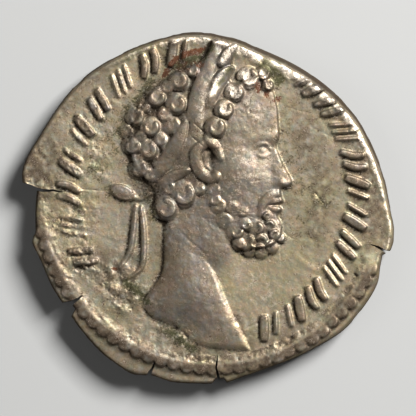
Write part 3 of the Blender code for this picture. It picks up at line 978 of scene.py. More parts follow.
@dataclass(frozen=True)
class Flan:
    """The piece of metal: its levels, its uneven edge and its cracks."""

    rest_level: float = 0.0
    reverse_field: float = 0.22
    edge_level: float = 0.80
    obverse_field: float = 1.40
    top_level: float = 1.94
    field_dome: float = 0.06
    blank_radius: float = 8.6
    edge_pull: int = 6
    spin_steps: int = 1080
    obverse_rings: int = 200
    reverse_rings: int = 80
    edge_rings: int = 14
    edge_band: float = 0.05
    shoulder: float = 0.14
    wall: float = 0.20
    wall_power: float = 0.85
    wall_share: float = 0.85
    wall_side: Side = Side(58.0, 52.0)
    reverse_shoulder: float = 0.22
    nick_depth: float = 0.016
    nick_seed: int = 61
    crack_seed: int = 31
    crack_levels: Point = (-1.0, 3.0)
    most_triangles: int = 190000
    shift: Point = (-0.009, -0.018)
    runs: tuple = (
        ((-12.9, 9.06), (-9.8, 9.11), (-6.0, 9.05), (1.6, 8.79), (11, 8.64), (21, 8.50), (30, 8.46),
         (44, 8.26), (58, 8.12), (70, 8.10), (81, 8.31), (95, 8.54), (107, 8.52), (120, 8.56), (134, 8.70),
         (147, 8.73), (156, 8.82), (163, 9.03), (168.5, 9.15), (172, 9.02)),
        ((173.3, 8.27), (179, 8.30), (187, 8.37), (191, 8.64), (198, 8.43), (206, 8.41), (213, 8.36)),
        ((214, 8.02), (217.2, 8.02)),
        ((218.3, 8.38), (228, 8.54), (236, 8.68), (245, 8.78), (250, 8.58)),
        ((251.5, 8.50), (257, 8.56), (264, 8.50), (271.5, 8.45)),
        ((272.6, 8.25), (275.4, 8.25)),
        ((276.3, 8.46), (282, 8.31), (290, 8.23), (298, 8.32), (308, 8.51), (318, 8.80), (328, 8.91),
         (336, 8.96), (341, 8.80), (345, 8.73)),
    )
    cracks: tuple[Crack, ...] = (
        Crack(173.6, 1.35, 0.16, -0.10), Crack(215.8, 0.75, 0.20), Crack(250.6, 0.80, 0.20, 0.15),
        Crack(273.9, 1.30, 0.14, -0.05), Crack(346.1, 0.95, 0.14, 0.10),
    )

    def edge_radius(self, angle: Array | float) -> Array:
        """Radius of the coin.

        Args:
            angle: Angles in degrees.

        Returns:
            The radii there.
        """
        angles: list[float] = []
        radii: list[float] = []
        for run in self.runs:
            curve = smooth_curve(run, 4) if len(run) > 2 else np.array(run, float)
            angles.extend(curve[:, 0])
            radii.extend(curve[:, 1])
        return np.interp(angle, angles, radii, period=360.0)

    def steepness(self, angle: Array) -> Array:
        """How far the edge is a wall under a crisp rim, from 0 to 1."""
        return self.wall_side.share(angle)

    def fall(self, depth: Array, angle: Array) -> Array:
        """Share of its height that a face keeps at a depth in from the edge.

        Args:
            depth: Distances in from the edge.
            angle: Angles in degrees.

        Returns:
            The shares: a steep wall under a crisp rim at the upper right, and a round shoulder elsewhere.
        """
        steep = self.steepness(angle)
        share = np.clip(depth / (self.shoulder + self.wall * steep), 0.0, 1.0)
        shoulder = np.sqrt(1.0 - (1.0 - share) ** 2)
        return shoulder + steep * (share**self.wall_power - shoulder) * self.wall_share

    def blank(self) -> bpy.types.Mesh:
        """A turned disc with fine rings on both faces.

        Returns:
            The disc's mesh, in millimetres.
        """
        top = np.linspace(0.0, 1.0 - self.edge_band, self.obverse_rings)
        low = np.linspace(0.0, 1.0 - self.edge_band, self.reverse_rings)
        arc = 1.0 - self.edge_band * np.cos(np.linspace(0.0, math.pi / 2.0, self.edge_rings + 1)[1:])
        over = np.concatenate([top, arc])
        under = np.concatenate([low, arc[:-1]])[::-1]
        radii = np.concatenate([over, under]) * self.blank_radius
        levels = np.full(len(radii), self.reverse_field)
        levels[: len(over)] = self.obverse_field
        levels[len(over) - 1] = self.edge_level
        profile = bpy.data.meshes.new("blank_profile")
        points = [(radius, 0.0, level) for radius, level in zip(radii, levels)]
        profile.from_pydata(points, [(i, i + 1) for i in range(len(points) - 1)], [])
        blank = new_object("blank", profile)
        spin = blank.modifiers.new("spin", "SCREW")
        spin.steps = self.spin_steps
        spin.render_steps = self.spin_steps
        spin.use_merge_vertices = True
        spin.merge_threshold = MERGE_DISTANCE
        spin.use_normal_calculate = True
        return evaluated_mesh(blank)

    def wedges(self) -> bpy.types.Object:
        """The cracks as upright blades, which cut them out of the metal.

        Returns:
            One object of all the blades, in metres.
        """
        draw = np.random.default_rng(self.crack_seed)
        foot, top = self.crack_levels
        body = bmesh.new()
        for crack in self.cracks:
            plan = crack.plan(float(self.edge_radius(crack.angle)), draw) * METRES
            base = body.faces.new([body.verts.new((x, y, foot * METRES)) for x, y in plan])
            pulled = bmesh.ops.extrude_face_region(body, geom=[base])["geom"]
            moved = [part for part in pulled if isinstance(part, bmesh.types.BMVert)]
            bmesh.ops.translate(body, vec=(0.0, 0.0, (top - foot) * METRES), verts=moved)
        body.normal_update()
        bmesh.ops.recalc_face_normals(body, faces=body.faces)
        mesh = bpy.data.meshes.new("wedges")
        body.to_mesh(mesh)
        body.free()
        return new_object("wedges", mesh)


@dataclass(frozen=True)
class Wear:
    """What handling and the ground did to a struck face."""

    softness: float = 0.026
    ceiling: float = 0.50
    polish: float = 0.030
    grain: float = 0.0016
    grain_size: float = 0.034
    rough_grain: float = 0.0045
    lump: float = 0.022
    lump_size: float = 0.15
    pit_depth: float = 0.026
    pit_size: float = 0.050
    dent: float = 0.008
    hammer: float = 0.0036
    hairlines: int = 90
    hairline_width: float = 0.028
    hairline_depths: Point = (0.004, 0.010)
    hairline_lengths: Point = (0.5, 2.2)
    hairline_reach: float = 7.5
    flow: float = 0.004
    flow_band: Band = Band((4.2, 5.6), (8.0, 8.5))
    seed: int = 11

    def age(self, chart: HeightMap, relief: Array, rough: Array) -> Array:
        """The relief after wear.

        Args:
            chart: The map that the relief belongs to.
            relief: Heights over the field.
            rough: Where the metal is corroded, from 0 to 1.

        Returns:
            The worn heights.
        """
        soft = chart.blurred(relief, self.softness)
        over = (self.ceiling - soft) / self.polish
        worn = self.ceiling - self.polish * np.logaddexp(0.0, over)
        eaten = rough * np.clip(0.25 + 0.6 * chart.noise(self.seed + 6, 0.16, 0.6), 0.0, 0.9)
        worn = worn * (1.0 - 0.8 * eaten)
        worn += self.dent * chart.noise(self.seed, 0.55)
        raised = 0.35 + 0.65 * smooth_step(0.04, 0.12, soft)
        worn += self.hammer * chart.noise(self.seed + 7, 0.13, 0.7) * raised
        fine = chart.noise(self.seed + 1, self.grain_size, 0.8)
        patch = np.clip(rough * (0.8 + 0.5 * chart.noise(self.seed + 2, 0.35)), 0.0, 1.0)
        worn += fine * (self.grain + (self.rough_grain - self.grain) * patch)
        worn += self.lump * patch * chart.noise(self.seed + 5, self.lump_size, 0.5)
        spots = chart.noise(self.seed + 3, self.pit_size)
        worn -= self.pit_depth * smooth_step(2.9 - 1.5 * patch, 4.0 - 1.5 * patch, spots)
        return worn + self.flow * self.flow_lines(chart)

    def dirt_and_shade(self, chart: HeightMap, worn: Array) -> Array:
        """Where dirt stays at the foot of the relief, with painted shade darkest on its lower left sides.

        Args:
            chart: The map that the relief belongs to.
            worn: The worn heights.

        Returns:
            The share of dirt and painted shade, from 0 to 1.
        """
        foot = np.clip((chart.blurred(worn, 0.16) - worn) / 0.040, 0.0, 1.0)
        rise, run = np.gradient(chart.blurred(worn, 0.10), chart.spacing)
        # Painted shade: the dark is weighted onto the sides that face away from the light at the upper right.
        return foot * (0.30 + 0.70 * smooth_step(-0.05, 0.15, rise + run))

    def scratch(self, chart: HeightMap) -> None:
        """Draws fine random scratches into the map.

        Args:
            chart: The map.
        """
        draw = np.random.default_rng(self.seed + 8)
        for _ in range(self.hairlines):
            start = draw.uniform(-self.hairline_reach, self.hairline_reach, 2)
            turn = draw.uniform(0.0, math.pi)
            run = draw.uniform(*self.hairline_lengths) * np.array((math.cos(turn), math.sin(turn)))
            path = (tuple(start), tuple(start + run))
            depth = draw.uniform(*self.hairline_depths)
            chart.add_ridge(Ridge(path, self.hairline_width, -depth, 0.4, 0.4))

    def flow_lines(self, chart: HeightMap) -> Array:
        """Fine lines that run outwards, as metal does that flows to the rim when it is struck.

        Args:
            chart: The map.

        Returns:
            The lines' heights, for a height of 1.
        """
        streaks = chart.noise(self.seed + 4, 0.05)
        radius = np.hypot(chart.x, chart.y)
        turn = np.arctan2(chart.y, chart.x) * 2.8
        return chart.sample(streaks, turn, radius * 0.16 - 4.0) * self.flow_band.share(radius)


# The two dies


@dataclass(frozen=True)
class Stain:
    """A soft stain along a path."""

    path: tuple
    half_width: float
    strength: float

    def spread(self, chart: HeightMap, values: Array) -> None:
        """Lays the stain over some values.

        Args:
            chart: The map that the values belong to.
            values: Values from 0 to 1, which are changed.
        """
        path = smooth_curve(self.path, 4)
        window = chart.window(path.min(axis=0), path.max(axis=0), 2.4 * self.half_width)
        away, _ = chart.nearest(window, path)
        stain = self.strength * bell(away, 0.0, self.half_width)
        values[window] = np.maximum(values[window], stain)


@dataclass(frozen=True)
class Face:
    """One struck face: its levels, its relief over the field, and where its metal is rough, stained or
    painted with shade and highlights.
    """

    chart: HeightMap
    relief: Array
    marks: dict[str, Array]


@dataclass(frozen=True)
class Plate:
    """A raised body inside an outline, with a rounded edge and a swelling middle."""

    outline: Array
    edge_height: float
    edge_width: float
    swell_height: float
    swell_width: float
    hardness: float = 1.0
    softening: float = 0.30

    def height(self, chart: HeightMap) -> Array:
        """The plate's height.

        Args:
            chart: The map that it is made on.

        Returns:
            The heights over the whole map.
        """
        depth = chart.depth_inside(self.outline)
        share = np.clip(depth / self.edge_width, 0.0, 1.0)
        edge = self.hardness * np.sqrt(1.0 - (1.0 - share) ** 2)
        edge = self.edge_height * (edge + (1.0 - self.hardness) * smooth_step(0.0, 1.0, share))
        swell = chart.blurred(np.clip(depth / self.swell_width, 0.0, 1.0) ** 0.8, self.softening)
        return edge + self.swell_height * swell * smooth_step(0.0, 0.5 * self.edge_width, depth)


@dataclass(frozen=True)
class Leaf:
    """A long leaf or swept lock, whose right side may lie lower than its left."""

    path: tuple
    half_width: float
    height: float
    tilt: float

    def lay(self, chart: HeightMap) -> None:
        """Lays the leaf over what is under it.

        Args:
            chart: The map, which is changed.
        """
        path = smooth_curve(self.path, 6)
        window = chart.window(path.min(axis=0), path.max(axis=0), self.half_width + 0.2)
        away, share = chart.nearest(window, path)
        place = share * (len(path) - 1)
        middle_x = np.interp(place, np.arange(len(path)), path[:, 0])
        right = np.sign(chart.x[window] - middle_x)
        width = self.half_width * np.clip(np.sin(np.pi * (0.22 + 0.74 * share)), 0.0, 1.0) ** 0.5
        side = away / np.maximum(width, 0.01) * right
        arch = rounded(away, width, 1.0) ** 0.5
        blade = arch * (self.height - self.tilt * side) * smooth_step(-0.05, 0.22, share)
        moat = 0.05 * bell(away - width, 0.02, 0.05) * smooth_step(0.05, 0.25, share)
        under = chart.z[window] - moat
        chart.z[window] = np.where(away < width, np.maximum(blade, 0.6 * under), under)


class Portrait:
    """The bearded head, its hair, wreath and bust.

    The face and the beard are drawn in head units: shares of the head's height, from its centre. Each lock
    has its place, its size, the angle that it is turned by, in degrees, and the hand that it winds to.
    """

    centre: Point = (-0.05, 2.80)
    height: float = 8.45
    profile = (
        (0.385, 0.320), (0.404, 0.235), (0.410, 0.150), (0.414, 0.075), (0.398, 0.030), (0.416, -0.030),
        (0.448, -0.100), (0.482, -0.162), (0.486, -0.190), (0.458, -0.212), (0.424, -0.222), (0.428, -0.262),
        (0.438, -0.292), (0.414, -0.312), (0.430, -0.338), (0.404, -0.372), (0.428, -0.420), (0.424, -0.480),
        (0.386, -0.530), (0.330, -0.556), (0.268, -0.560), (0.215, -0.580),
    )
    nape = ((1.20, -1.80), (0.30, -1.10), (-0.80, -0.60), (-1.60, -0.75))
    hair = (
        (-2.25, -0.55), (-2.55, 0.05), (-2.55, 0.70), (-2.95, 1.30), (-3.45, 1.84), (-3.75, 2.80),
        (-3.65, 3.91), (-3.26, 4.63), (-2.84, 5.50), (-2.12, 6.17), (-1.35, 6.66), (-0.62, 6.92),
        (-0.10, 7.40), (0.25, 8.05), (0.98, 8.00), (1.22, 7.20), (0.98, 6.45), (1.25, 5.98), (1.90, 6.20),
        (2.60, 6.38), (2.98, 5.95),
    )
    throat = (
        (2.30, -1.20), (2.05, -2.20), (1.80, -3.00), (1.66, -3.80), (1.66, -4.60), (1.84, -5.40),
        (2.00, -6.20), (1.20, -6.20), (-0.50, -4.50), (-2.20, -3.60), (-3.60, -2.60), (-3.60, 0.80),
        (0.00, 1.50), (1.80, 0.60),
    )
    collar = Swell((-0.70, -1.66), (1.40, 1.00), 0.02, -45.0)
    bust_front = (
        (-1.60, -0.85), (-0.92, -1.50), (-0.20, -2.10), (0.28, -2.75), (0.58, -3.50), (0.84, -4.25),
        (1.14, -4.95), (1.50, -5.65), (1.82, -6.25), (2.08, -6.86),
    )
    bust_foot = (
        (2.08, -6.86), (0.97, -6.78), (0.02, -6.69), (-0.53, -6.47), (-1.01, -6.10), (-1.52, -5.67),
        (-2.13, -5.46), (-2.75, -5.17), (-3.20, -4.56),
    )
    bust_back = (
        (-3.20, -4.56), (-2.72, -3.86), (-2.32, -3.30), (-2.14, -2.70), (-2.12, -1.60), (-2.10, -0.95),
    )
    face_forms = (
        Swell((0.340, 0.070), (0.85, 0.30), 0.045, 8.0),
        Swell((0.322, 0.006), (0.52, 0.34), -0.085),
        Swell((0.318, 0.000), (0.27, 0.22), 0.085),
        Ridge(((0.366, 0.004), (0.338, 0.034), (0.296, 0.030), (0.258, 0.000)), 0.11, 0.050, 0.7, 0.3),
        Ridge(((0.360, -0.022), (0.322, -0.036), (0.280, -0.024)), 0.10, 0.035, 0.6, 0.3),
        Swell((0.428, -0.186), (0.22, 0.18), 0.07),
        Swell((0.250, -0.130), (1.00, 0.80), 0.055),
        Swell((0.365, -0.110), (0.30, 0.70), -0.045),
        Ridge(((0.425, -0.286), (0.388, -0.292), (0.350, -0.304)), 0.15, 0.055, 0.8, 0.3),
        Ridge(((0.418, -0.338), (0.388, -0.336), (0.354, -0.322)), 0.15, 0.050, 0.8, 0.3),
        Ridge(((0.430, -0.312), (0.392, -0.312), (0.352, -0.314)), 0.07, -0.060, 0.8, 0.3),
        Ridge(((0.430, -0.245), (0.372, -0.256), (0.326, -0.296), (0.304, -0.366)), 0.24, 0.075, 0.6, 0.5),
    )
    ear_forms = (
        Swell((0.020, -0.060), (0.34, 0.60), -0.10),
        Ridge(((0.045, 0.020), (-0.005, 0.035), (-0.055, 0.000), (-0.062, -0.060), (-0.035, -0.125),
               (0.015, -0.160), (0.050, -0.150)), 0.29, 0.11, 0.6, 0.9),
        Ridge(((0.030, -0.010), (-0.004, -0.030), (-0.004, -0.085), (0.020, -0.112)), 0.14, 0.05, 0.4, 0.4),
    )
    neck_forms = (
        Ridge(((-1.52, -0.90), (-0.90, -1.52), (-0.20, -2.12), (0.20, -2.66)), 0.05, -0.014, 0.5, 0.3),
    )
    locks = (
        (-1.42, 6.13, 0.52, 75, 1), (-0.74, 6.62, 0.36, 40, 1), (-1.53, 4.99, 0.54, 60, 1),
        (-2.51, 5.36, 0.54, 20, 1), (-3.48, 4.38, 0.50, 80, 1), (-2.78, 3.90, 0.52, 45, 1),
        (-2.88, 2.78, 0.52, 70, 1), (-3.66, 3.02, 0.48, 20, 1), (-3.33, 1.88, 0.50, 50, 1),
        (-1.20, 0.66, 0.66, 60, 1), (-2.04, -0.02, 0.64, 100, 1),
    )
    small_locks = (
        (-3.92, 3.72, 0.36, 110, 1), (-3.10, 4.95, 0.38, 0, 1), (-2.00, 5.82, 0.38, 60, 1),
        (-2.05, 4.50, 0.40, 100, -1), (-3.22, 3.40, 0.36, 150, 1), (-3.40, 2.42, 0.36, 10, 1),
        (-2.30, 3.30, 0.38, 20, 1), (-2.78, 1.60, 0.38, 90, -1),
    )
    front_locks = (
        (1.95, 6.28, 0.58, 70, 1), (1.28, 5.58, 0.50, 60, 1), (0.78, 4.76, 0.50, 45, 1),
        (0.36, 3.88, 0.54, 55, 1), (2.66, 6.50, 0.40, 20, 1), (2.90, 5.90, 0.30, 60, 1),
    )
    worn_locks = (
        (-1.72, 3.98, 0.46, 60, 1), (-1.95, 3.00, 0.40, 30, 1), (-1.02, 4.42, 0.36, 80, 1),
        (-2.35, 2.20, 0.36, 50, 1), (-1.90, 0.96, 0.40, 70, 1), (0.30, 0.40, 0.34, 40, 1),
        (-0.45, 0.95, 0.34, 10, 1),
    )
    beard_locks = (
        (0.165, -0.465, 0.052), (0.238, -0.520, 0.046), (0.315, -0.520, 0.052), (0.392, -0.480, 0.044),
        (0.218, -0.425, 0.040), (0.288, -0.450, 0.050), (0.362, -0.430, 0.040), (0.345, -0.372, 0.030),
    )
    fringe = (
        (0.186, -0.535, 0.042), (0.244, -0.566, 0.044), (0.308, -0.572, 0.046), (0.370, -0.548, 0.043),
        (0.414, -0.498, 0.036),
    )
    short_beard = (
        (0.036, -0.225, 0.044), (0.068, -0.318, 0.046), (0.105, -0.398, 0.046), (0.150, -0.330, 0.044),
        (0.205, -0.350, 0.034),
    )
    leaves = (
        Leaf(((0.50, 6.75), (0.74, 7.10), (1.04, 7.46), (1.40, 7.84)), 0.32, 0.17, 0.08),
        Leaf(((-0.08, 4.72), (0.18, 5.50), (0.46, 6.02), (0.82, 6.44), (1.20, 6.74)), 0.37, 0.17, 0.09),
        Leaf(((-0.66, 3.62), (-0.62, 4.50), (-0.50, 5.24), (-0.28, 5.92), (-0.02, 6.60), (0.26, 7.35),
              (0.46, 8.10)), 0.42, 0.12, 0.01),
        Leaf(((-2.55, 1.25), (-2.00, 2.25), (-1.45, 3.25), (-1.05, 4.15)), 0.38, 0.11, 0.02),
        Leaf(((-2.35, 1.05), (-1.72, 1.50), (-0.95, 1.85)), 0.29, 0.10, 0.02),
    )
    combed = (
        Swell((-1.00, 3.10), (0.95, 0.75), 0.09, 40.0),
        Ridge(((-0.05, 3.38), (0.34, 2.98), (0.62, 2.40)), 0.25, 0.11, 0.7, 0.7),
    )
    back_locks = ((-1.1, 6.4), (-2.6, 5.0), (-3.3, 3.6), (-3.2, 2.2), (-2.6, 0.8))

    def __init__(self, chart: HeightMap, press: Press) -> None:
        """Keeps the map that the head is made on and the press that makes its locks."""
        self.chart = chart
        self.press = press

    def on_head(self, u: float, v: float) -> Point:
        """The place on the coin of a point in head units."""
        return (self.centre[0] + u * self.height, self.centre[1] + v * self.height)

    def plates(self) -> tuple[Plate, Plate, Plate]:
        """The flat bodies that the head is built from.

        Returns:
            The skull, the throat and the bust.
        """
        front = smooth_curve([self.on_head(u, v) for u, v in self.profile], 4)
        skull = np.concatenate([front, smooth_curve(self.nape, 4), smooth_curve(self.hair, 4)])
        throat = smooth_curve((*self.throat, self.throat[0]), 4)[:-1]
        sides = [smooth_curve(side, 4)[:-1] for side in (self.bust_front, self.bust_foot, self.bust_back)]
        return (
            Plate(skull, 0.12, 0.15, 0.21, 2.1),
            Plate(throat, 0.15, 1.60, 0.01, 1.2, 0.0),
            Plate(np.concatenate(sides), 0.13, 0.27, 0.19, 1.9, 0.7),
        )

    def carve(self) -> Array:
        """The relief of the head over the field.

        Returns:
            The heights, 0 outside the head.
        """
        body = self.body()
        details = self.chart.alone((*self.face_forms, *self.ear_forms), self.on_head)
        details = details + self.chart.alone((*self.neck_forms, *self.combed))
        body = np.maximum(body + details * smooth_step(0.0, 0.15, body), 0.0)
        return body + self.covering()

    def body(self) -> Array:
        """The broad forms of the skull, throat and bust.

        Returns:
            Their heights.
        """
        x, y = self.chart.x, self.chart.y
        skull, throat, bust = (plate.height(self.chart) for plate in self.plates())
        collar = self.chart.alone((self.collar,))
        throat = throat * smooth_step(-2.14, -1.75, x) * (0.30 + 0.70 * smooth_step(-3.6, -2.0, y))
        throat = np.maximum(throat + collar * smooth_step(0.0, 0.1, throat), 0.0)
        bust = bust * (1.0 - 0.40 * smooth_step(-4.0, -6.2, y))
        behind = 1.0 - smooth_step(-1.6, 1.4, x + 0.25 * y - 0.6)
        skull = skull * (1.0 - 0.50 * behind * smooth_step(-0.8, 1.2, y))
        return np.maximum.reduce([skull, throat, bust])

    def covering(self) -> Array:
        """The leaves and the locks that lie on the head. Each kind of lock is worn flat at its own height.

        Returns:
            Their heights.
        """
        self.chart.z = np.zeros_like(self.chart.x)
        for leaf in self.leaves:
            leaf.lay(self.chart)
        height = self.chart.z
        for punch, top in (
            (LockPunch(self.locks, 0.24), 0.165),
            (LockPunch(self.small_locks, 0.15), 0.10),
            (LockPunch(self.front_locks, 0.27), 0.20),
            (LockPunch(self.worn_locks, 0.11), 0.08),
            (LockPunch(self.curls_of(self.beard_locks), 0.18, 0.34, 0.62), 0.14),
            (LockPunch(self.curls_of(self.short_beard), 0.08), 0.06),
            (LockPunch(self.curls_of(self.fringe), 0.20, 0.66, 0.62), 0.17),
        ):
            height = np.maximum(height, np.minimum(self.press.height_of(punch), top))
        return height

    def ground(self) -> Array:
        """Where the metal is darkened between the locks at the back of the head.

        Returns:
            1 among the locks, fading to 0 away from them.
        """
        path = smooth_curve(self.back_locks, 4)
        away, _ = self.chart.nearest((slice(None), slice(None)), path)
        return bell(away, 0.0, 0.9)

    def curls_of(self, beard: tuple) -> tuple:
        """The beard's curls as locks, each turned a little more than the last.

        Args:
            beard: The place of each curl and its radius, in head units.

        Returns:
            The curls in the form that the punch takes.
        """
        return tuple(
            (*self.on_head(u, v), radius * self.height, 20.0 + 70.0 * (number % 4), 1)
            for number, (u, v, radius) in enumerate(beard)
        )


class Die:
    """A die: the map that it is carved on, its press and the metal that it strikes."""

    def __init__(self, flan: Flan, material: bpy.types.Material) -> None:
        """Starts with a flat map."""
        self.flan = flan
        self.chart = HeightMap()
        self.press = Press(self.chart, material)
        self.radius = np.hypot(self.chart.x, self.chart.y)


class ObverseDie(Die):
    """The die of the face with the head.

    Bands across the border are measured outwards from the middle of its beads.
    """

    border = BeadPunch((0.26, 0.75), 8.44, 84, 0.36, 0.22, 0.08, 0.030, 4)
    border_band = Band((180.0, 192.0), (331.0, 341.0))
    bead_top = 0.122
    bead_band = Band((-0.24, -0.12), (0.30, 0.40))
    ridge_height = 0.105
    ridge_band = Band((-0.68, -0.20), (-0.12, 0.06))
    slope_band = Band((-0.70, -0.56), (-0.36, -0.20))
    lip_depth = 0.04
    # The rim is painted bright only on the side that faces the light: wear and painted highlight.
    rim_side = Side(55.0, 80.0)
    rim_polish_and_highlight = 0.92
    burr_height = 0.085
    torn_side = Side(170.0, 17.0)
    strokes = StrokePunch((0.26, 0.75), 6.95, ((206.0, 104.0, 9), (48.0, -67.0, 11)), 1.20, 0.165, 0.16)
    stroke_top = 0.12
    bow = Swell((-4.10, 0.77), (0.62, 0.36), 0.14, -22.0)
    ribbons = (
        Ridge(((-3.52, 0.52), (-3.20, 0.46), (-2.85, 0.66)), 0.13, 0.06, 0.9, 0.9),
        Ridge(((-3.45, 0.10), (-3.52, -0.60), (-3.62, -1.50), (-3.78, -2.20), (-4.25, -2.85)),
              0.15, 0.13, 0.8, 0.5),
        Ridge(((-3.22, 0.05), (-3.10, -0.80), (-3.06, -1.80), (-3.14, -2.75), (-3.65, -3.30)),
              0.15, 0.13, 0.8, 0.5),
    )
    scratch_width = 0.035
    scratch_depth = 0.018
    scratches = (
        ((-0.74, 4.15), (0.05, 3.48)), ((-0.90, 3.55), (-0.10, 2.90)), ((5.05, 0.90), (5.70, 0.05)),
        ((-6.4, 0.95), (-4.9, 0.84)), ((1.6, -5.9), (3.0, -5.2)),
    )
    # Bright metal: worn high points, and painted highlights on the locks, leaves, face and bust that face the
    # light.
    polished = (
        Stain(((0.20, 5.55), (0.50, 6.10), (0.90, 6.60)), 0.30, 0.90),
        Stain(((0.72, 7.10), (1.02, 7.50), (1.32, 7.80)), 0.26, 0.85),
        Stain(((1.70, 6.45), (2.05, 6.00)), 0.42, 0.90),
        Stain(((1.15, 5.75), (1.40, 5.45)), 0.34, 0.80), Stain(((0.70, 4.90), (0.90, 4.60)), 0.30, 0.70),
        Stain(((2.60, 6.60), (2.75, 6.35)), 0.22, 0.70), Stain(((1.8, 5.4), (2.4, 4.4)), 0.8, 0.42),
        Stain(((1.5, 2.7), (2.3, 1.6)), 0.9, 0.40), Stain(((2.7, 3.2), (3.3, 1.7)), 0.6, 0.34),
        Stain(((2.0, -3.0), (3.3, -5.2)), 1.3, 0.34), Stain(((-4.9, -1.2), (-4.2, -2.4)), 0.9, 0.30),
        Stain(((-0.4, 4.4), (0.0, 6.2)), 0.5, 0.45), Stain(((1.4, 1.6), (1.0, -0.4)), 0.9, 0.35),
    )
    # Toned metal, with two stains of painted shade that dim highlights on the bust's lower edge and the ear.
    tarnish_and_shade = (
        Stain(((4.6, 3.6), (5.3, 1.8), (5.4, 0.2), (5.2, -1.2)), 0.85, 0.78),
        Stain(((-2.0, -1.6), (-1.9, -3.2), (-2.2, -4.4)), 0.65, 0.70),
        Stain(((-1.3, 3.6), (-1.7, 2.2), (-1.2, 1.4)), 0.80, 0.55),
        Stain(((-5.2, 5.4), (-3.6, 6.6), (-2.0, 7.6)), 0.50, 0.35),
        Stain(((3.9, 4.8), (4.5, 2.8), (4.3, 0.4)), 1.2, 0.38),
        Stain(((-2.9, 5.6), (-3.5, 3.6), (-3.1, 1.6)), 0.9, 0.45),
        Stain(((-2.0, -6.2), (-0.5, -6.95), (0.6, -7.05)), 0.45, 0.60),
        Stain(((1.9, -6.7), (3.4, -6.2), (4.5, -5.5)), 0.30, 0.50),
        # Painted shade: darkens the bust's lower edge, and the ear below, to dim their highlights.
        Stain(((1.3, -5.1), (1.7, -5.9), (2.0, -6.7)), 0.32, 0.85),
        Stain(((0.3, 3.0), (-0.3, 2.2), (0.2, 1.4)), 0.5, 0.60),
        Stain(((-1.1, -0.6), (0.3, -1.9)), 0.45, 0.40),
        Stain(((-5.0, -2.6), (-3.9, -4.2)), 0.8, 0.80), Stain(((-0.9, -3.2), (-0.5, -5.0)), 1.0, 0.22),
        Stain(((-1.0, -3.6), (-0.6, -5.6)), 1.1, 0.30),
    )
    rust = (
        Stain(((-2.08, 6.42), (-1.59, 7.15), (-0.87, 7.49), (-0.14, 7.73)), 0.17, 0.95),
        Stain(((-1.35, 6.75), (-0.75, 6.95), (-0.30, 6.90)), 0.22, 0.55),
        Stain(((2.35, 5.85), (2.80, 5.50)), 0.22, 0.70), Stain(((3.28, 5.22), (3.42, 5.25)), 0.13, 0.80),
        Stain(((-4.62, -2.84), (-4.52, -2.90)), 0.13, 1.0), Stain(((-1.85, 5.70), (-1.30, 5.62)), 0.16, 0.35),
    )
    verdigris = (
        Stain(((-1.50, 6.85), (-0.80, 7.15), (-0.20, 7.35), (0.05, 7.75)), 0.30, 0.85),
        Stain(((2.75, 6.95), (3.15, 6.60), (3.45, 6.15)), 0.34, 0.80),
        Stain(((-3.95, -3.60), (-3.35, -4.05), (-2.95, -4.45)), 0.26, 0.90),
        Stain(((-1.95, -5.85), (-1.30, -6.35), (-0.70, -6.75)), 0.30, 0.75),
        Stain(((-3.95, 4.75), (-3.30, 5.35), (-2.75, 6.10)), 0.30, 0.60),
        Stain(((-4.45, 2.9), (-4.30, 3.9), (-4.10, 4.5)), 0.34, 0.45),
        Stain(((-5.6, 2.2), (-5.2, 1.5), (-4.9, 0.9)), 0.45, 0.40),
        Stain(((-2.95, 0.75), (-2.75, 0.10), (-2.60, -0.50)), 0.26, 0.55),
        Stain(((3.5, 3.6), (4.4, 1.2), (4.5, -0.8)), 1.2, 0.26),
        Stain(((0.55, 6.0), (1.10, 6.75)), 0.16, 0.80),
        Stain(((5.15, 0.60), (5.55, 0.20)), 0.32, 0.45), Stain(((-5.2, 4.6), (-4.9, 3.4)), 0.7, 0.30),
    )
    rough_places = (
        (-6.6, -1.3, 1.7, 1.0), (-4.3, -3.7, 1.1, 0.8), (-6.3, 2.6, 1.2, 0.8), (-1.5, -6.6, 0.9, 1.0),
        (-5.6, 4.3, 0.8, 0.4), (2.0, 4.9, 1.0, 0.10), (-5.2, -4.2, 1.4, 0.35), (-3.0, -6.0, 1.0, 0.35),
        (-8.0, 1.3, 0.9, 0.35), (-6.9, 4.2, 0.8, 0.30), (-4.6, 5.6, 0.9, 0.30), (-5.4, 1.6, 0.8, 0.35),
    )

    def __init__(self, flan: Flan, material: bpy.types.Material) -> None:
        """Measures the map round the coin's middle and round the border's."""
        super().__init__(flan, material)
        self.portrait = Portrait(self.chart, self.press)
        x, y = self.chart.x, self.chart.y
        self.angle = np.degrees(np.arctan2(y, x))
        self.depth = flan.edge_radius(self.angle) - self.radius
        dx, dy = x - self.border.centre[0], y - self.border.centre[1]
        self.across = np.hypot(dx, dy) - self.border.radius
        self.struck = self.border_band.share(np.degrees(np.arctan2(dy, dx)) % 360.0)
        self.slope = self.struck * self.slope_band.share(self.across)
        self.wing = self.torn_side.share(self.angle) * smooth_step(6.6, 8.2, self.radius)

    def carve(self) -> Face:
        """Makes the die.

        Returns:
            The face that it strikes.
        """
        chart, flan = self.chart, self.flan
        head = self.portrait.carve()
        strokes = np.minimum(self.press.height_of(self.strokes), self.stroke_top)
        ribbons = chart.alone(self.ribbons)
        relief = np.maximum.reduce([ribbons, self.oval(), strokes, head, self.border_relief()])
        rough = self.roughness()
        chart.z = Wear().age(chart, relief, rough)
        for path in self.scratches:
            chart.add_ridge(Ridge(path, self.scratch_width, -self.scratch_depth, 0.4, 0.4))
        Wear().scratch(chart)
        worn = chart.z
        dome = flan.field_dome * (1.0 - (self.radius / flan.blank_radius) ** 2)
        rim, burr = self.rim()
        chart.z = flan.obverse_field + dome + worn + burr - self.lip()
        return Face(chart, worn, self.marks(worn, rough, rim, strokes))

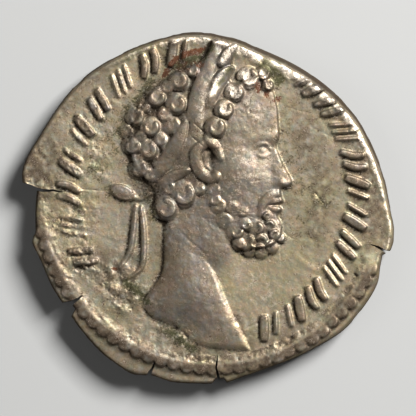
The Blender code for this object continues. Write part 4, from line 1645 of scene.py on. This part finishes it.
    def oval(self) -> Array:
        """The domed loop of the bow."""
        away = np.hypot(*self.bow.shares(self.chart.x, self.chart.y, self.bow.centre))
        return rounded(away, 1.0, self.bow.height) + 0.04 * bell(away, 0.86, 0.16)

    def border_relief(self) -> Array:
        """The worn beads on their ridge.

        Returns:
            Their heights.
        """
        ridge = self.ridge_height * self.ridge_band.share(self.across)
        beads = np.minimum(self.press.height_of(self.border), self.bead_top)
        beads = beads * smooth_step(-0.34, -0.14, self.across)
        flattened = np.maximum(ridge, beads) * (0.90 + 0.12 * np.tanh(self.chart.noise(23, 0.35)))
        return self.struck * flattened

    def lip(self) -> Array:
        """How far the rim outside the beads lies under the field."""
        return self.lip_depth * self.struck * smooth_step(0.28, 0.50, self.across)

    def rim(self) -> tuple[Array, Array]:
        """The crisp rim along the upper right.

        Returns:
            How bright it is worn and painted as a highlight, from 0 to 1, and the height of its burr.
        """
        uneven = np.clip(0.9 + 0.24 * self.chart.noise(41, 0.20, 0.7), 0.3, 1.4)
        steep = self.flan.steepness(self.angle)
        rim = self.rim_polish_and_highlight * bell(self.depth - 0.20, 0.29 * steep, (0.10 + 0.17 * steep) * uneven)
        rim = rim * self.rim_side.share(self.angle)
        return rim, self.burr_height * rim * uneven

    def roughness(self) -> Array:
        """Where the metal is corroded.

        Returns:
            The share of corrosion, from 0 to 1.
        """
        rough = np.zeros_like(self.radius)
        for x, y, radius, share in self.rough_places:
            rough += share * np.exp(-(((self.chart.x - x) ** 2 + (self.chart.y - y) ** 2) / radius**2))
        rough = np.clip(np.maximum.reduce([rough, 0.75 * self.slope, 0.45 * self.wing]), 0.0, 1.0)
        return rough * (1.0 - 0.85 * self.struck * smooth_step(-0.38, -0.20, self.across))

    def toning(self, strokes: Array) -> Array:
        """Where the metal is toned darker, apart from the stains.

        Args:
            strokes: Heights of the strokes.

        Returns:
            The share of toning, from 0 to 1.
        """
        angle, across, struck = self.angle, self.across, self.struck
        beads = struck * self.bead_band.share(across)
        bars = (0.40 + 0.30 * Side(140.0, 60.0).share(angle)) * smooth_step(0.04, 0.10, strokes)
        slope = (0.55 + 0.35 * Side(278.0, 45.0).share(angle)) * self.slope
        shoulder = 0.5 * Side(138.0, 32.0).share(angle) * smooth_step(-0.95, -0.35, -self.depth)
        right = 0.9 * Side(4.0, 22.0).share(angle) * Band((0.40, 0.60), (1.2, 2.4)).share(self.depth)
        lip = 0.40 * struck * smooth_step(0.38, 0.50, across)
        return np.maximum.reduce([beads, bars, slope, 0.95 * self.wing, shoulder, right, lip])

    def marks(self, worn: Array, rough: Array, rim: Array, strokes: Array) -> dict[str, Array]:
        """What the finish reads.

        Args:
            worn: The worn heights over the field.
            rough: Where the metal is corroded.
            rim: How bright the rim is worn and painted as a highlight.
            strokes: Heights of the strokes.

        Returns:
            Values from 0 to 1 over the map, by name.
        """
        # Dark at the foot of the relief and among the back locks: dirt, with painted shade on the lower left
        # sides.
        between = self.portrait.ground() * (1.0 - smooth_step(0.10, 0.20, worn))
        hollow = np.maximum(Wear().dirt_and_shade(self.chart, worn), 0.8 * between)
        marks = {
            "rough": rough,
            "hollow": hollow * (1.0 - 0.85 * self.struck * smooth_step(0.15, 0.30, self.across)),
            # The lower left slope inside the beads faces the light and is painted bright as a highlight.
            "polished": np.maximum(rim, 0.18 * self.slope * Side(235.0, 40.0).share(self.angle)),
            "toned": self.toning(strokes),
            "rust": np.zeros_like(worn),
            "verdigris": np.zeros_like(worn),
        }
        stains = {"polished": self.polished, "toned": self.tarnish_and_shade, "rust": self.rust,
                  "verdigris": self.verdigris}
        for label, places in stains.items():
            for stain in places:
                stain.spread(self.chart, marks[label])
        return marks


class ReverseDie(Die):
    """The die of the face underneath, with a plain standing figure.

    Each limb has its two ends and the half width at each.
    """

    border = BeadPunch((0.0, 0.0), 8.05, 78, 0.35, 0.25, 0.06, 0.02, 9)
    strokes = StrokePunch((0.0, 0.0), 6.60, ((217.0, 113.0, 11), (58.0, -37.0, 10)), 1.15, 0.18, 0.17)
    limbs = (
        ((0.0, 5.15), (0.0, 4.95), 0.80, 0.72), ((0.0, 4.2), (0.0, 3.4), 0.35, 0.55),
        ((-0.75, 3.2), (0.75, 3.2), 0.55, 0.55), ((0.0, 3.1), (0.0, 0.8), 1.05, 0.90),
        ((0.0, 0.8), (0.1, -4.6), 1.10, 1.55), ((-0.95, 3.1), (-1.85, 1.6), 0.42, 0.36),
        ((-1.85, 1.6), (-3.05, 1.35), 0.36, 0.28), ((0.95, 3.1), (1.75, 2.0), 0.42, 0.36),
        ((1.75, 2.0), (2.60, 3.1), 0.36, 0.28), ((-0.65, -5.1), (-0.95, -5.35), 0.42, 0.30),
        ((0.75, -5.1), (1.15, -5.35), 0.42, 0.30),
    )
    folds = tuple(Ridge(path, 0.16, -0.10, 0.5, 0.5) for path in (
        ((-0.75, 0.6), (-0.90, -2.0), (-1.10, -4.6)), ((-0.25, 0.6), (-0.28, -2.0), (-0.30, -4.6)),
        ((0.30, 0.6), (0.38, -2.0), (0.50, -4.6)), ((0.80, 0.6), (0.98, -2.0), (1.25, -4.6)),
        ((-0.95, 2.9), (-0.35, 1.9), (0.85, 1.2)), ((-1.00, 2.1), (-0.45, 1.35), (0.75, 0.65)),
    ))
    bars = (Ridge(((2.75, -5.3), (2.66, 4.7)), 0.17, 0.19), Ridge(((-3.6, -5.75), (3.6, -5.75)), 0.16, 0.19))
    dish = Swell((-3.45, 1.30), (0.52, 0.29), 0.18)
    relief_height = 0.30
    roughness = 0.25

    def carve(self) -> Face:
        """Makes the die.

        Returns:
            The face that it strikes, seen from underneath.
        """
        chart, press = self.chart, self.press
        bars = chart.alone(self.bars)
        away = np.hypot(*self.dish.shares(chart.x, chart.y, self.dish.centre))
        dish = rounded(away, 1.0, self.dish.height)
        across = self.radius - self.border.radius
        ridge = rounded(across + 0.14, 0.21, 0.14)
        relief = np.maximum.reduce([
            self.figure(), bars, dish, press.height_of(self.strokes), press.height_of(self.border), ridge])
        rough = np.full_like(chart.x, self.roughness)
        worn = Wear(ceiling=0.30, seed=51).age(chart, relief, rough)
        chart.z = self.flan.reverse_field - worn
        return Face(chart, worn, {
            "rough": rough,
            "toned": 0.7 * smooth_step(-0.2, 0.1, across),
            "rust": 0.3 * smooth_step(0.8, 2.2, chart.noise(78, 0.4)),
            # Dirt with painted shade on the lower left sides of the relief.
            "hollow": Wear().dirt_and_shade(chart, worn),
            "polished": 0.6 * smooth_step(0.20, 0.30, worn),
            "verdigris": 0.35 * smooth_step(0.4, 1.8, chart.noise(77, 0.7)),
        })

    def figure(self) -> Array:
        """The standing figure with its folds.

        Returns:
            Its heights.
        """
        chart = self.chart
        figure = np.zeros_like(chart.x)
        for start, end, first, last in self.limbs:
            path = np.array((start, end))
            window = chart.window(path.min(axis=0), path.max(axis=0), max(first, last))
            away, share = chart.nearest(window, path)
            limb = rounded(away, first + (last - first) * share, self.relief_height)
            figure[window] = np.maximum(figure[window], limb)
        folds = chart.alone(self.folds)
        return np.where(figure > self.relief_height / 2.0, figure + folds, figure)


class Coin:
    """The struck coin: one closed mesh that replaces the frame's plain solid."""

    name = "struck_denarius"
    sharp_angle = math.radians(70.0)

    def __init__(self, material: bpy.types.Material) -> None:
        """Keeps the material."""
        self.flan = Flan()
        self.material = material
        self.obverse = ObverseDie(self.flan, material).carve()
        LOG.info("obverse die carved")
        self.reverse = ReverseDie(self.flan, material).carve()
        LOG.info("reverse die carved")

    def strike(self) -> bpy.types.Object:
        """Makes the coin.

        Returns:
            The coin's object, in metres.
        """
        flan = self.flan
        mesh = flan.blank()
        points = mesh_points(mesh)
        angle = np.degrees(np.arctan2(points[:, 1], points[:, 0]))
        share = np.hypot(points[:, 0], points[:, 1]) / flan.blank_radius
        edge = flan.edge_radius(angle)
        radius = share * flan.blank_radius + (edge - flan.blank_radius) * share**flan.edge_pull
        x = radius * np.cos(np.radians(angle))
        y = radius * np.sin(np.radians(angle))
        upper = points[:, 2] > (flan.obverse_field + flan.edge_level) / 2.0
        lower = points[:, 2] < (flan.reverse_field + flan.edge_level) / 2.0
        inside = np.clip((edge - radius) / flan.reverse_shoulder, 0.0, 1.0)
        shoulder = np.sqrt(1.0 - (1.0 - inside) ** 2)
        kept = np.where(upper, flan.fall(edge - radius, angle), shoulder)
        struck = np.full_like(x, flan.edge_level)
        front, back = self.obverse.chart, self.reverse.chart
        struck[upper] = front.sample(front.z, x[upper], y[upper])
        struck[lower] = back.sample(back.z, -x[lower], y[lower])
        z = np.clip(flan.edge_level + (struck - flan.edge_level) * kept, flan.rest_level, flan.top_level)
        ring = np.where(lower, -1.0, 1.0) * (1.0 - share) * 20.0
        nicks = np.clip(front.sample(front.noise(flan.nick_seed, 0.10, 0.7), angle / 20.0, ring), 0.0, 2.0)
        inward = 1.0 - flan.nick_depth * (nicks - 0.4) * smooth_step(0.95, 0.99, share) / flan.blank_radius
        placed = np.column_stack([x * inward, y * inward, z]) * METRES
        mesh.vertices.foreach_set("co", placed.astype(np.float32).ravel())
        mesh.update()
        return self.finished(self.thinned(self.cracked(new_object(self.name, mesh))))

    def cracked(self, coin: bpy.types.Object) -> bpy.types.Object:
        """Cuts the cracks.

        Args:
            coin: The struck coin, which is used up.

        Returns:
            The cracked coin.
        """
        wedges = self.flan.wedges()
        cut = coin.modifiers.new("cracks", "BOOLEAN")
        cut.operation = "DIFFERENCE"
        cut.solver = "MANIFOLD"
        cut.object = wedges
        made = new_object(self.name, in_order(evaluated_mesh(coin)))
        bpy.data.objects.remove(wedges)
        return made

    def thinned(self, coin: bpy.types.Object) -> bpy.types.Object:
        """Takes out triangles where the surface needs fewer.

        Args:
            coin: The cracked coin, which is used up.

        Returns:
            The lighter coin.
        """
        coin.data.calc_loop_triangles()
        count = len(coin.data.loop_triangles)
        LOG.info("coin cracked: %d triangles", count)
        reduce = coin.modifiers.new("reduce", "DECIMATE")
        reduce.ratio = self.flan.most_triangles / count
        reduce.use_collapse_triangulate = True
        return new_object(self.name, evaluated_mesh(coin))

    def finished(self, coin: bpy.types.Object) -> bpy.types.Object:
        """Puts the coin in the frame's middle and dresses it.

        Args:
            coin: The coin, which is changed.

        Returns:
            The same coin.
        """
        mesh = coin.data
        self.centre(mesh)
        self.mark(mesh)
        mesh.shade_smooth()
        mesh.set_sharp_from_angle(angle=self.sharp_angle)
        mesh.materials.clear()
        mesh.materials.append(self.material)
        return coin

    def centre(self, mesh: bpy.types.Mesh) -> None:
        """Moves the mesh so that the middle of its outline is the frame's middle.

        Args:
            mesh: The mesh, which is changed.
        """
        points = mesh_points(mesh)
        middle = (points.min(axis=0) + points.max(axis=0)) / 2.0
        points[:, :2] -= middle[:2]
        points[:, 2] = np.clip(points[:, 2], self.flan.rest_level * METRES, self.flan.top_level * METRES)
        mesh.vertices.foreach_set("co", points.astype(np.float32).ravel())
        mesh.update()

    def mark(self, mesh: bpy.types.Mesh) -> None:
        """Stores on the mesh's points where the metal is hollow, worn, rough and so on, for the finish.

        Args:
            mesh: The mesh, which is changed.
        """
        flan = self.flan
        points = mesh_points(mesh) / METRES - (*flan.shift, 0.0)
        top = points[:, 2] > flan.edge_level
        marks = {label: np.zeros(len(points)) for label in TonedSilver.marks}
        for face, on_face, side in ((self.obverse, top, 1.0), (self.reverse, ~top, -1.0)):
            x, y = points[on_face, 0] * side, points[on_face, 1]
            for label, values in {**face.marks, "worn": smooth_step(0.04, 0.14, face.relief)}.items():
                marks[label][on_face] = face.chart.sample(values, x, y)
        angle = np.degrees(np.arctan2(points[:, 1], points[:, 0]))
        depth = flan.edge_radius(angle) - np.hypot(points[:, 0], points[:, 1])
        steep = flan.steepness(angle)
        # The side wall is painted dark as patina and painted shade, widest under the crisp rim at the upper
        # right and darkest high on the wall.
        rubbed = 0.35 + 0.65 * smooth_step(flan.edge_level - 0.20, flan.edge_level + 0.15, points[:, 2])
        marks["side"] = rubbed * (1.0 - smooth_step(0.01 + 0.18 * steep, 0.12 + 0.20 * steep, depth))
        for label, values in marks.items():
            store(mesh, label, values)


# Finishes


@dataclass(frozen=True)
class TonedSilver:
    """Worn silver: grey-brown on the high parts, greenish beige in the field, and dark in the hollows with
    dirt and painted shade.
    """

    high: Colour = (0.124, 0.101, 0.078, 1.0)
    field: Colour = (0.190, 0.156, 0.109, 1.0)
    # Bright metal of worn high points, of painted highlights and of painted glints.
    polished: Colour = (0.560, 0.485, 0.395, 1.0)
    # Near black of dirt and painted shade at the foot of the relief.
    hollow: Colour = (0.012, 0.009, 0.006, 1.0)
    toned: Colour = (0.060, 0.044, 0.030, 1.0)
    # Dark side wall: patina and painted shade.
    side: Colour = (0.018, 0.013, 0.009, 1.0)
    rust: Colour = (0.048, 0.019, 0.010, 1.0)
    verdigris: Colour = (0.022, 0.023, 0.013, 1.0)
    edge_tint: Colour = (0.38, 0.32, 0.27, 1.0)
    green_tint: Colour = (0.83, 0.92, 0.76, 1.0)
    cool_tint: Colour = (0.72, 0.84, 1.00, 1.0)
    dark_tint: Colour = (0.46, 0.41, 0.36, 1.0)
    rust_tint: Colour = (0.55, 0.30, 0.20, 1.0)
    verdigris_tint: Colour = (0.50, 0.52, 0.36, 1.0)
    warm_tint: Colour = (1.07, 1.01, 0.94, 1.0)
    blue_tint: Colour = (0.94, 0.99, 1.05, 1.0)
    leaf_tint: Colour = (0.97, 1.01, 0.96, 1.0)
    pink_tint: Colour = (1.04, 0.99, 1.01, 1.0)
    metallic: float = 0.88
    roughness: float = 0.51
    specular: float = 0.05
    bump_strength: float = 0.8
    bump_distance: float = 0.007 * METRES
    marks = ("hollow", "worn", "rough", "side", "toned", "rust", "verdigris", "polished")

    def material(self) -> bpy.types.Material:
        """The finish as a material, which reads the marks that the mesh carries."""
        return SilverBoard(self).build()


class SilverBoard(ShaderBoard):
    """The node tree of toned silver. Its noises go from broad clouds to the finest grain."""

    def __init__(self, finish: TonedSilver) -> None:
        """Reads the marks, makes the noises and finds where dirt with painted shade, deposits and specks lie.
        """
        super().__init__("toned_silver")
        self.finish = finish
        self.marks = {label: self.carried(label) for label in finish.marks}
        self.cloud = self.noise(330.0, 3.0)
        self.blotch = self.noise(900.0, 4.0)
        self.mottle = self.noise(2900.0, 5.0)
        self.fine = self.noise(15000.0, 2.0)
        self.finest = self.noise(24000.0, 2.0)
        self.speckle = self.noise(9000.0, 3.0) * 0.5 + self.fine * 0.5
        mottle, speckle = self.mottle - 0.5, self.speckle - 0.5
        # Dirt with painted shade from the hollow mark, broken up by speckle.
        self.dirt_and_shade = self.above(self.marks["hollow"] + speckle * 1.4, 0.10, 1.3)
        self.green = self.above(self.marks["verdigris"] + mottle * 1.8 + speckle * 1.6, 0.30, 2.3)
        self.red = self.above(self.marks["rust"] + mottle * 2.0 + speckle * 1.6, 0.34, 3.2)
        self.specks = self.above(self.speckle + mottle * 0.4 + self.marks["rough"] * 0.04, 0.580, 9.0)

    def build(self) -> bpy.types.Material:
        """Makes the material.

        Returns:
            The material.
        """
        finish, side, rough = self.finish, self.marks["side"], self.marks["rough"]
        dull = self.most(self.dirt_and_shade, self.green, self.red, self.specks * 0.6, side * 0.8)
        matt = self.most(side, self.red * 0.8)
        uneven = (self.mottle - 0.5) * 0.25 + (self.speckle - 0.5) * 0.4
        grain = self.finest * 0.5 + self.fine + self.mottle * 0.3
        bump = self.node("ShaderNodeBump", inputs={
            "Strength": finish.bump_strength, "Distance": finish.bump_distance,
            "Height": grain * (rough * 2.0 + 1.0)})
        return self.dress({
            "Base Color": self.covered(self.rubbed(self.metal())),
            "Metallic": finish.metallic - dull * 0.20 - matt * 0.60,
            "Specular IOR Level": finish.specular,
            "Specular Tint": finish.edge_tint,
            "Roughness": dull * 0.12 + side * 0.15 + rough * 0.10 + uneven + finish.roughness,
            "Normal": bump.outputs[0],
        })

    def metal(self) -> bpy.types.NodeSocket:
        """The metal under its films: duller where it is high, with faint drifts of colour.

        Returns:
            The colour.
        """
        finish, worn = self.finish, self.marks["worn"]
        colour = self.blend(worn, finish.field, finish.high)
        film = self.above(self.cloud * 0.6 + self.blotch * 0.4, 0.48, 6.0) * (1.0 - worn * 0.6)
        colour = self.tint(film * 0.7, colour, finish.green_tint)
        bloom = self.above(1.0 - self.cloud * 0.5 - self.mottle * 0.5, 0.48, 8.0)
        colour = self.tint(bloom * 0.6, colour, finish.cool_tint)
        for scale, first, second in (
            (1500.0, finish.blue_tint, finish.warm_tint), (7000.0, finish.warm_tint, finish.blue_tint),
            (2200.0, finish.leaf_tint, finish.pink_tint), (5000.0, finish.pink_tint, finish.leaf_tint),
        ):
            drift = self.above(self.noise(scale, 3.0), 0.36, 3.6)
            colour = self.tint(1.0, colour, self.blend(drift, first, second))
        return colour

    def rubbed(self, colour: bpy.types.NodeSocket) -> bpy.types.NodeSocket:
        """The metal where it is toned, partly as painted shade, and where it is bright, partly as painted
        highlight.

        Args:
            colour: The metal's colour.

        Returns:
            The colour.
        """
        finish, mottle, speckle, polished = self.finish, self.mottle, self.speckle, self.marks["polished"]
        uneven = self.above(mottle * 0.7 + self.blotch * 0.3 + speckle * 0.3, 0.64, 6.0)
        colour = self.blend(uneven * 0.45, colour, finish.toned)
        bare = self.above(1.0 - mottle * 0.6 - speckle * 0.6, 0.40, 6.0)
        colour = self.blend(bare * 0.10, colour, finish.polished)
        bright = self.above(speckle * 0.6 + mottle * 0.4 + polished * 0.2, 0.58, 9.0)
        bright = self.maths("MULTIPLY", polished * 1.2, bright, clamp=True)
        # Bright metal where the polish mark lies: wear, and painted highlights.
        colour = self.blend(bright, colour, finish.polished)
        return self.blend(self.marks["toned"] * self.above(mottle, 0.31, 4.0), colour, finish.toned)

    def covered(self, colour: bpy.types.NodeSocket) -> bpy.types.NodeSocket:
        """The metal with what lies on it, with painted glints, and with its side wall painted dark as patina
        and painted shade.

        Args:
            colour: The metal's colour.

        Returns:
            The colour.
        """
        finish = self.finish
        colour = self.tint(self.green, colour, finish.verdigris_tint)
        colour = self.blend(self.green * 0.7, colour, finish.verdigris)
        colour = self.tint(self.red, colour, finish.rust_tint)
        colour = self.blend(self.red * 0.9, colour, finish.rust)
        # Near black of dirt and painted shade at the foot of the relief.
        colour = self.blend(self.dirt_and_shade, colour, finish.hollow)
        colour = self.tint(self.specks * 0.50, colour, finish.dark_tint)
        # Painted glints: random sparks of the bright colour.
        glints = self.above((self.finest + self.mottle) * 0.5, 0.57, 9.0)
        colour = self.blend(glints * 0.30, colour, finish.polished)
        # The side wall painted dark: patina and painted shade.
        return self.blend(self.marks["side"] * 0.95, colour, finish.side)


@dataclass(frozen=True)
class Lamp:
    """A soft square lamp that points at the coin."""

    name: str
    place: tuple[float, float, float]
    size: float
    power: float

    def build(self) -> None:
        """Makes the lamp."""
        light = bpy.data.lights.new(self.name, "AREA")
        light.size = self.size
        light.energy = self.power
        lamp = new_object(self.name, light)
        lamp.location = self.place
        lamp.rotation_euler = (-Vector(self.place)).to_track_quat("-Z", "Y").to_euler()


@dataclass(frozen=True)
class Studio:
    """A pale floor, soft light from the upper right and a camera straight above."""

    frame_width: float = 20.08 * METRES
    focus_height: float = 0.8 * METRES
    lens: float = 300.0
    sensor: float = 36.0
    near: float = 0.001
    floor_size: float = 0.8
    floor_colour: Colour = (0.19, 0.19, 0.185, 1.0)
    floor_roughness: float = 0.9
    air: Colour = (0.07, 0.07, 0.07, 1.0)
    lamps: tuple[Lamp, ...] = (
        Lamp("key", (0.14, 0.13, 0.17), 0.10, 3.1), Lamp("fill", (-0.18, -0.04, 0.16), 0.16, 0.18),
    )

    def build(self) -> None:
        """Makes the floor, the lamps, the air and the camera."""
        scene = bpy.context.scene
        scene.view_settings.view_transform = "Standard"
        scene.camera = self.camera()
        self.floor()
        for lamp in self.lamps:
            lamp.build()
        scene.world = bpy.data.worlds.new("studio")
        scene.world.use_nodes = True
        scene.world.node_tree.nodes["Background"].inputs["Color"].default_value = self.air

    def camera(self) -> bpy.types.Object:
        """The camera, which looks straight down from where the coin fills the picture.

        Returns:
            The camera's object.
        """
        camera = bpy.data.cameras.new("camera")
        camera.lens = self.lens
        camera.sensor_width = self.sensor
        camera.clip_start = self.near
        eye = new_object("camera", camera)
        eye.location = (0.0, 0.0, self.frame_width * self.lens / self.sensor + self.focus_height)
        return eye

    def floor(self) -> bpy.types.Object:
        """The floor that the coin lies on.

        Returns:
            The floor's object.
        """
        mesh = bpy.data.meshes.new("floor")
        half = self.floor_size / 2.0
        corners = [(-half, -half, 0.0), (half, -half, 0.0), (half, half, 0.0), (-half, half, 0.0)]
        mesh.from_pydata(corners, [], [(0, 1, 2, 3)])
        mesh.materials.append(ShaderBoard("pale_floor").dress({
            "Base Color": self.floor_colour, "Roughness": self.floor_roughness}))
        return new_object("floor", mesh)


def main() -> None:
    """Builds the coin and the studio."""
    logging.basicConfig(level=logging.INFO, format="%(name)s: %(message)s")
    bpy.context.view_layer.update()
    silver = TonedSilver().material()
    coin = Coin(silver).strike()
    LOG.info("coin struck: %d triangles", len(coin.data.polygons))
    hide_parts(COIN_NODE)
    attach(coin, COIN_BODY)
    Studio().build()


if __name__ == "__main__":
    main()
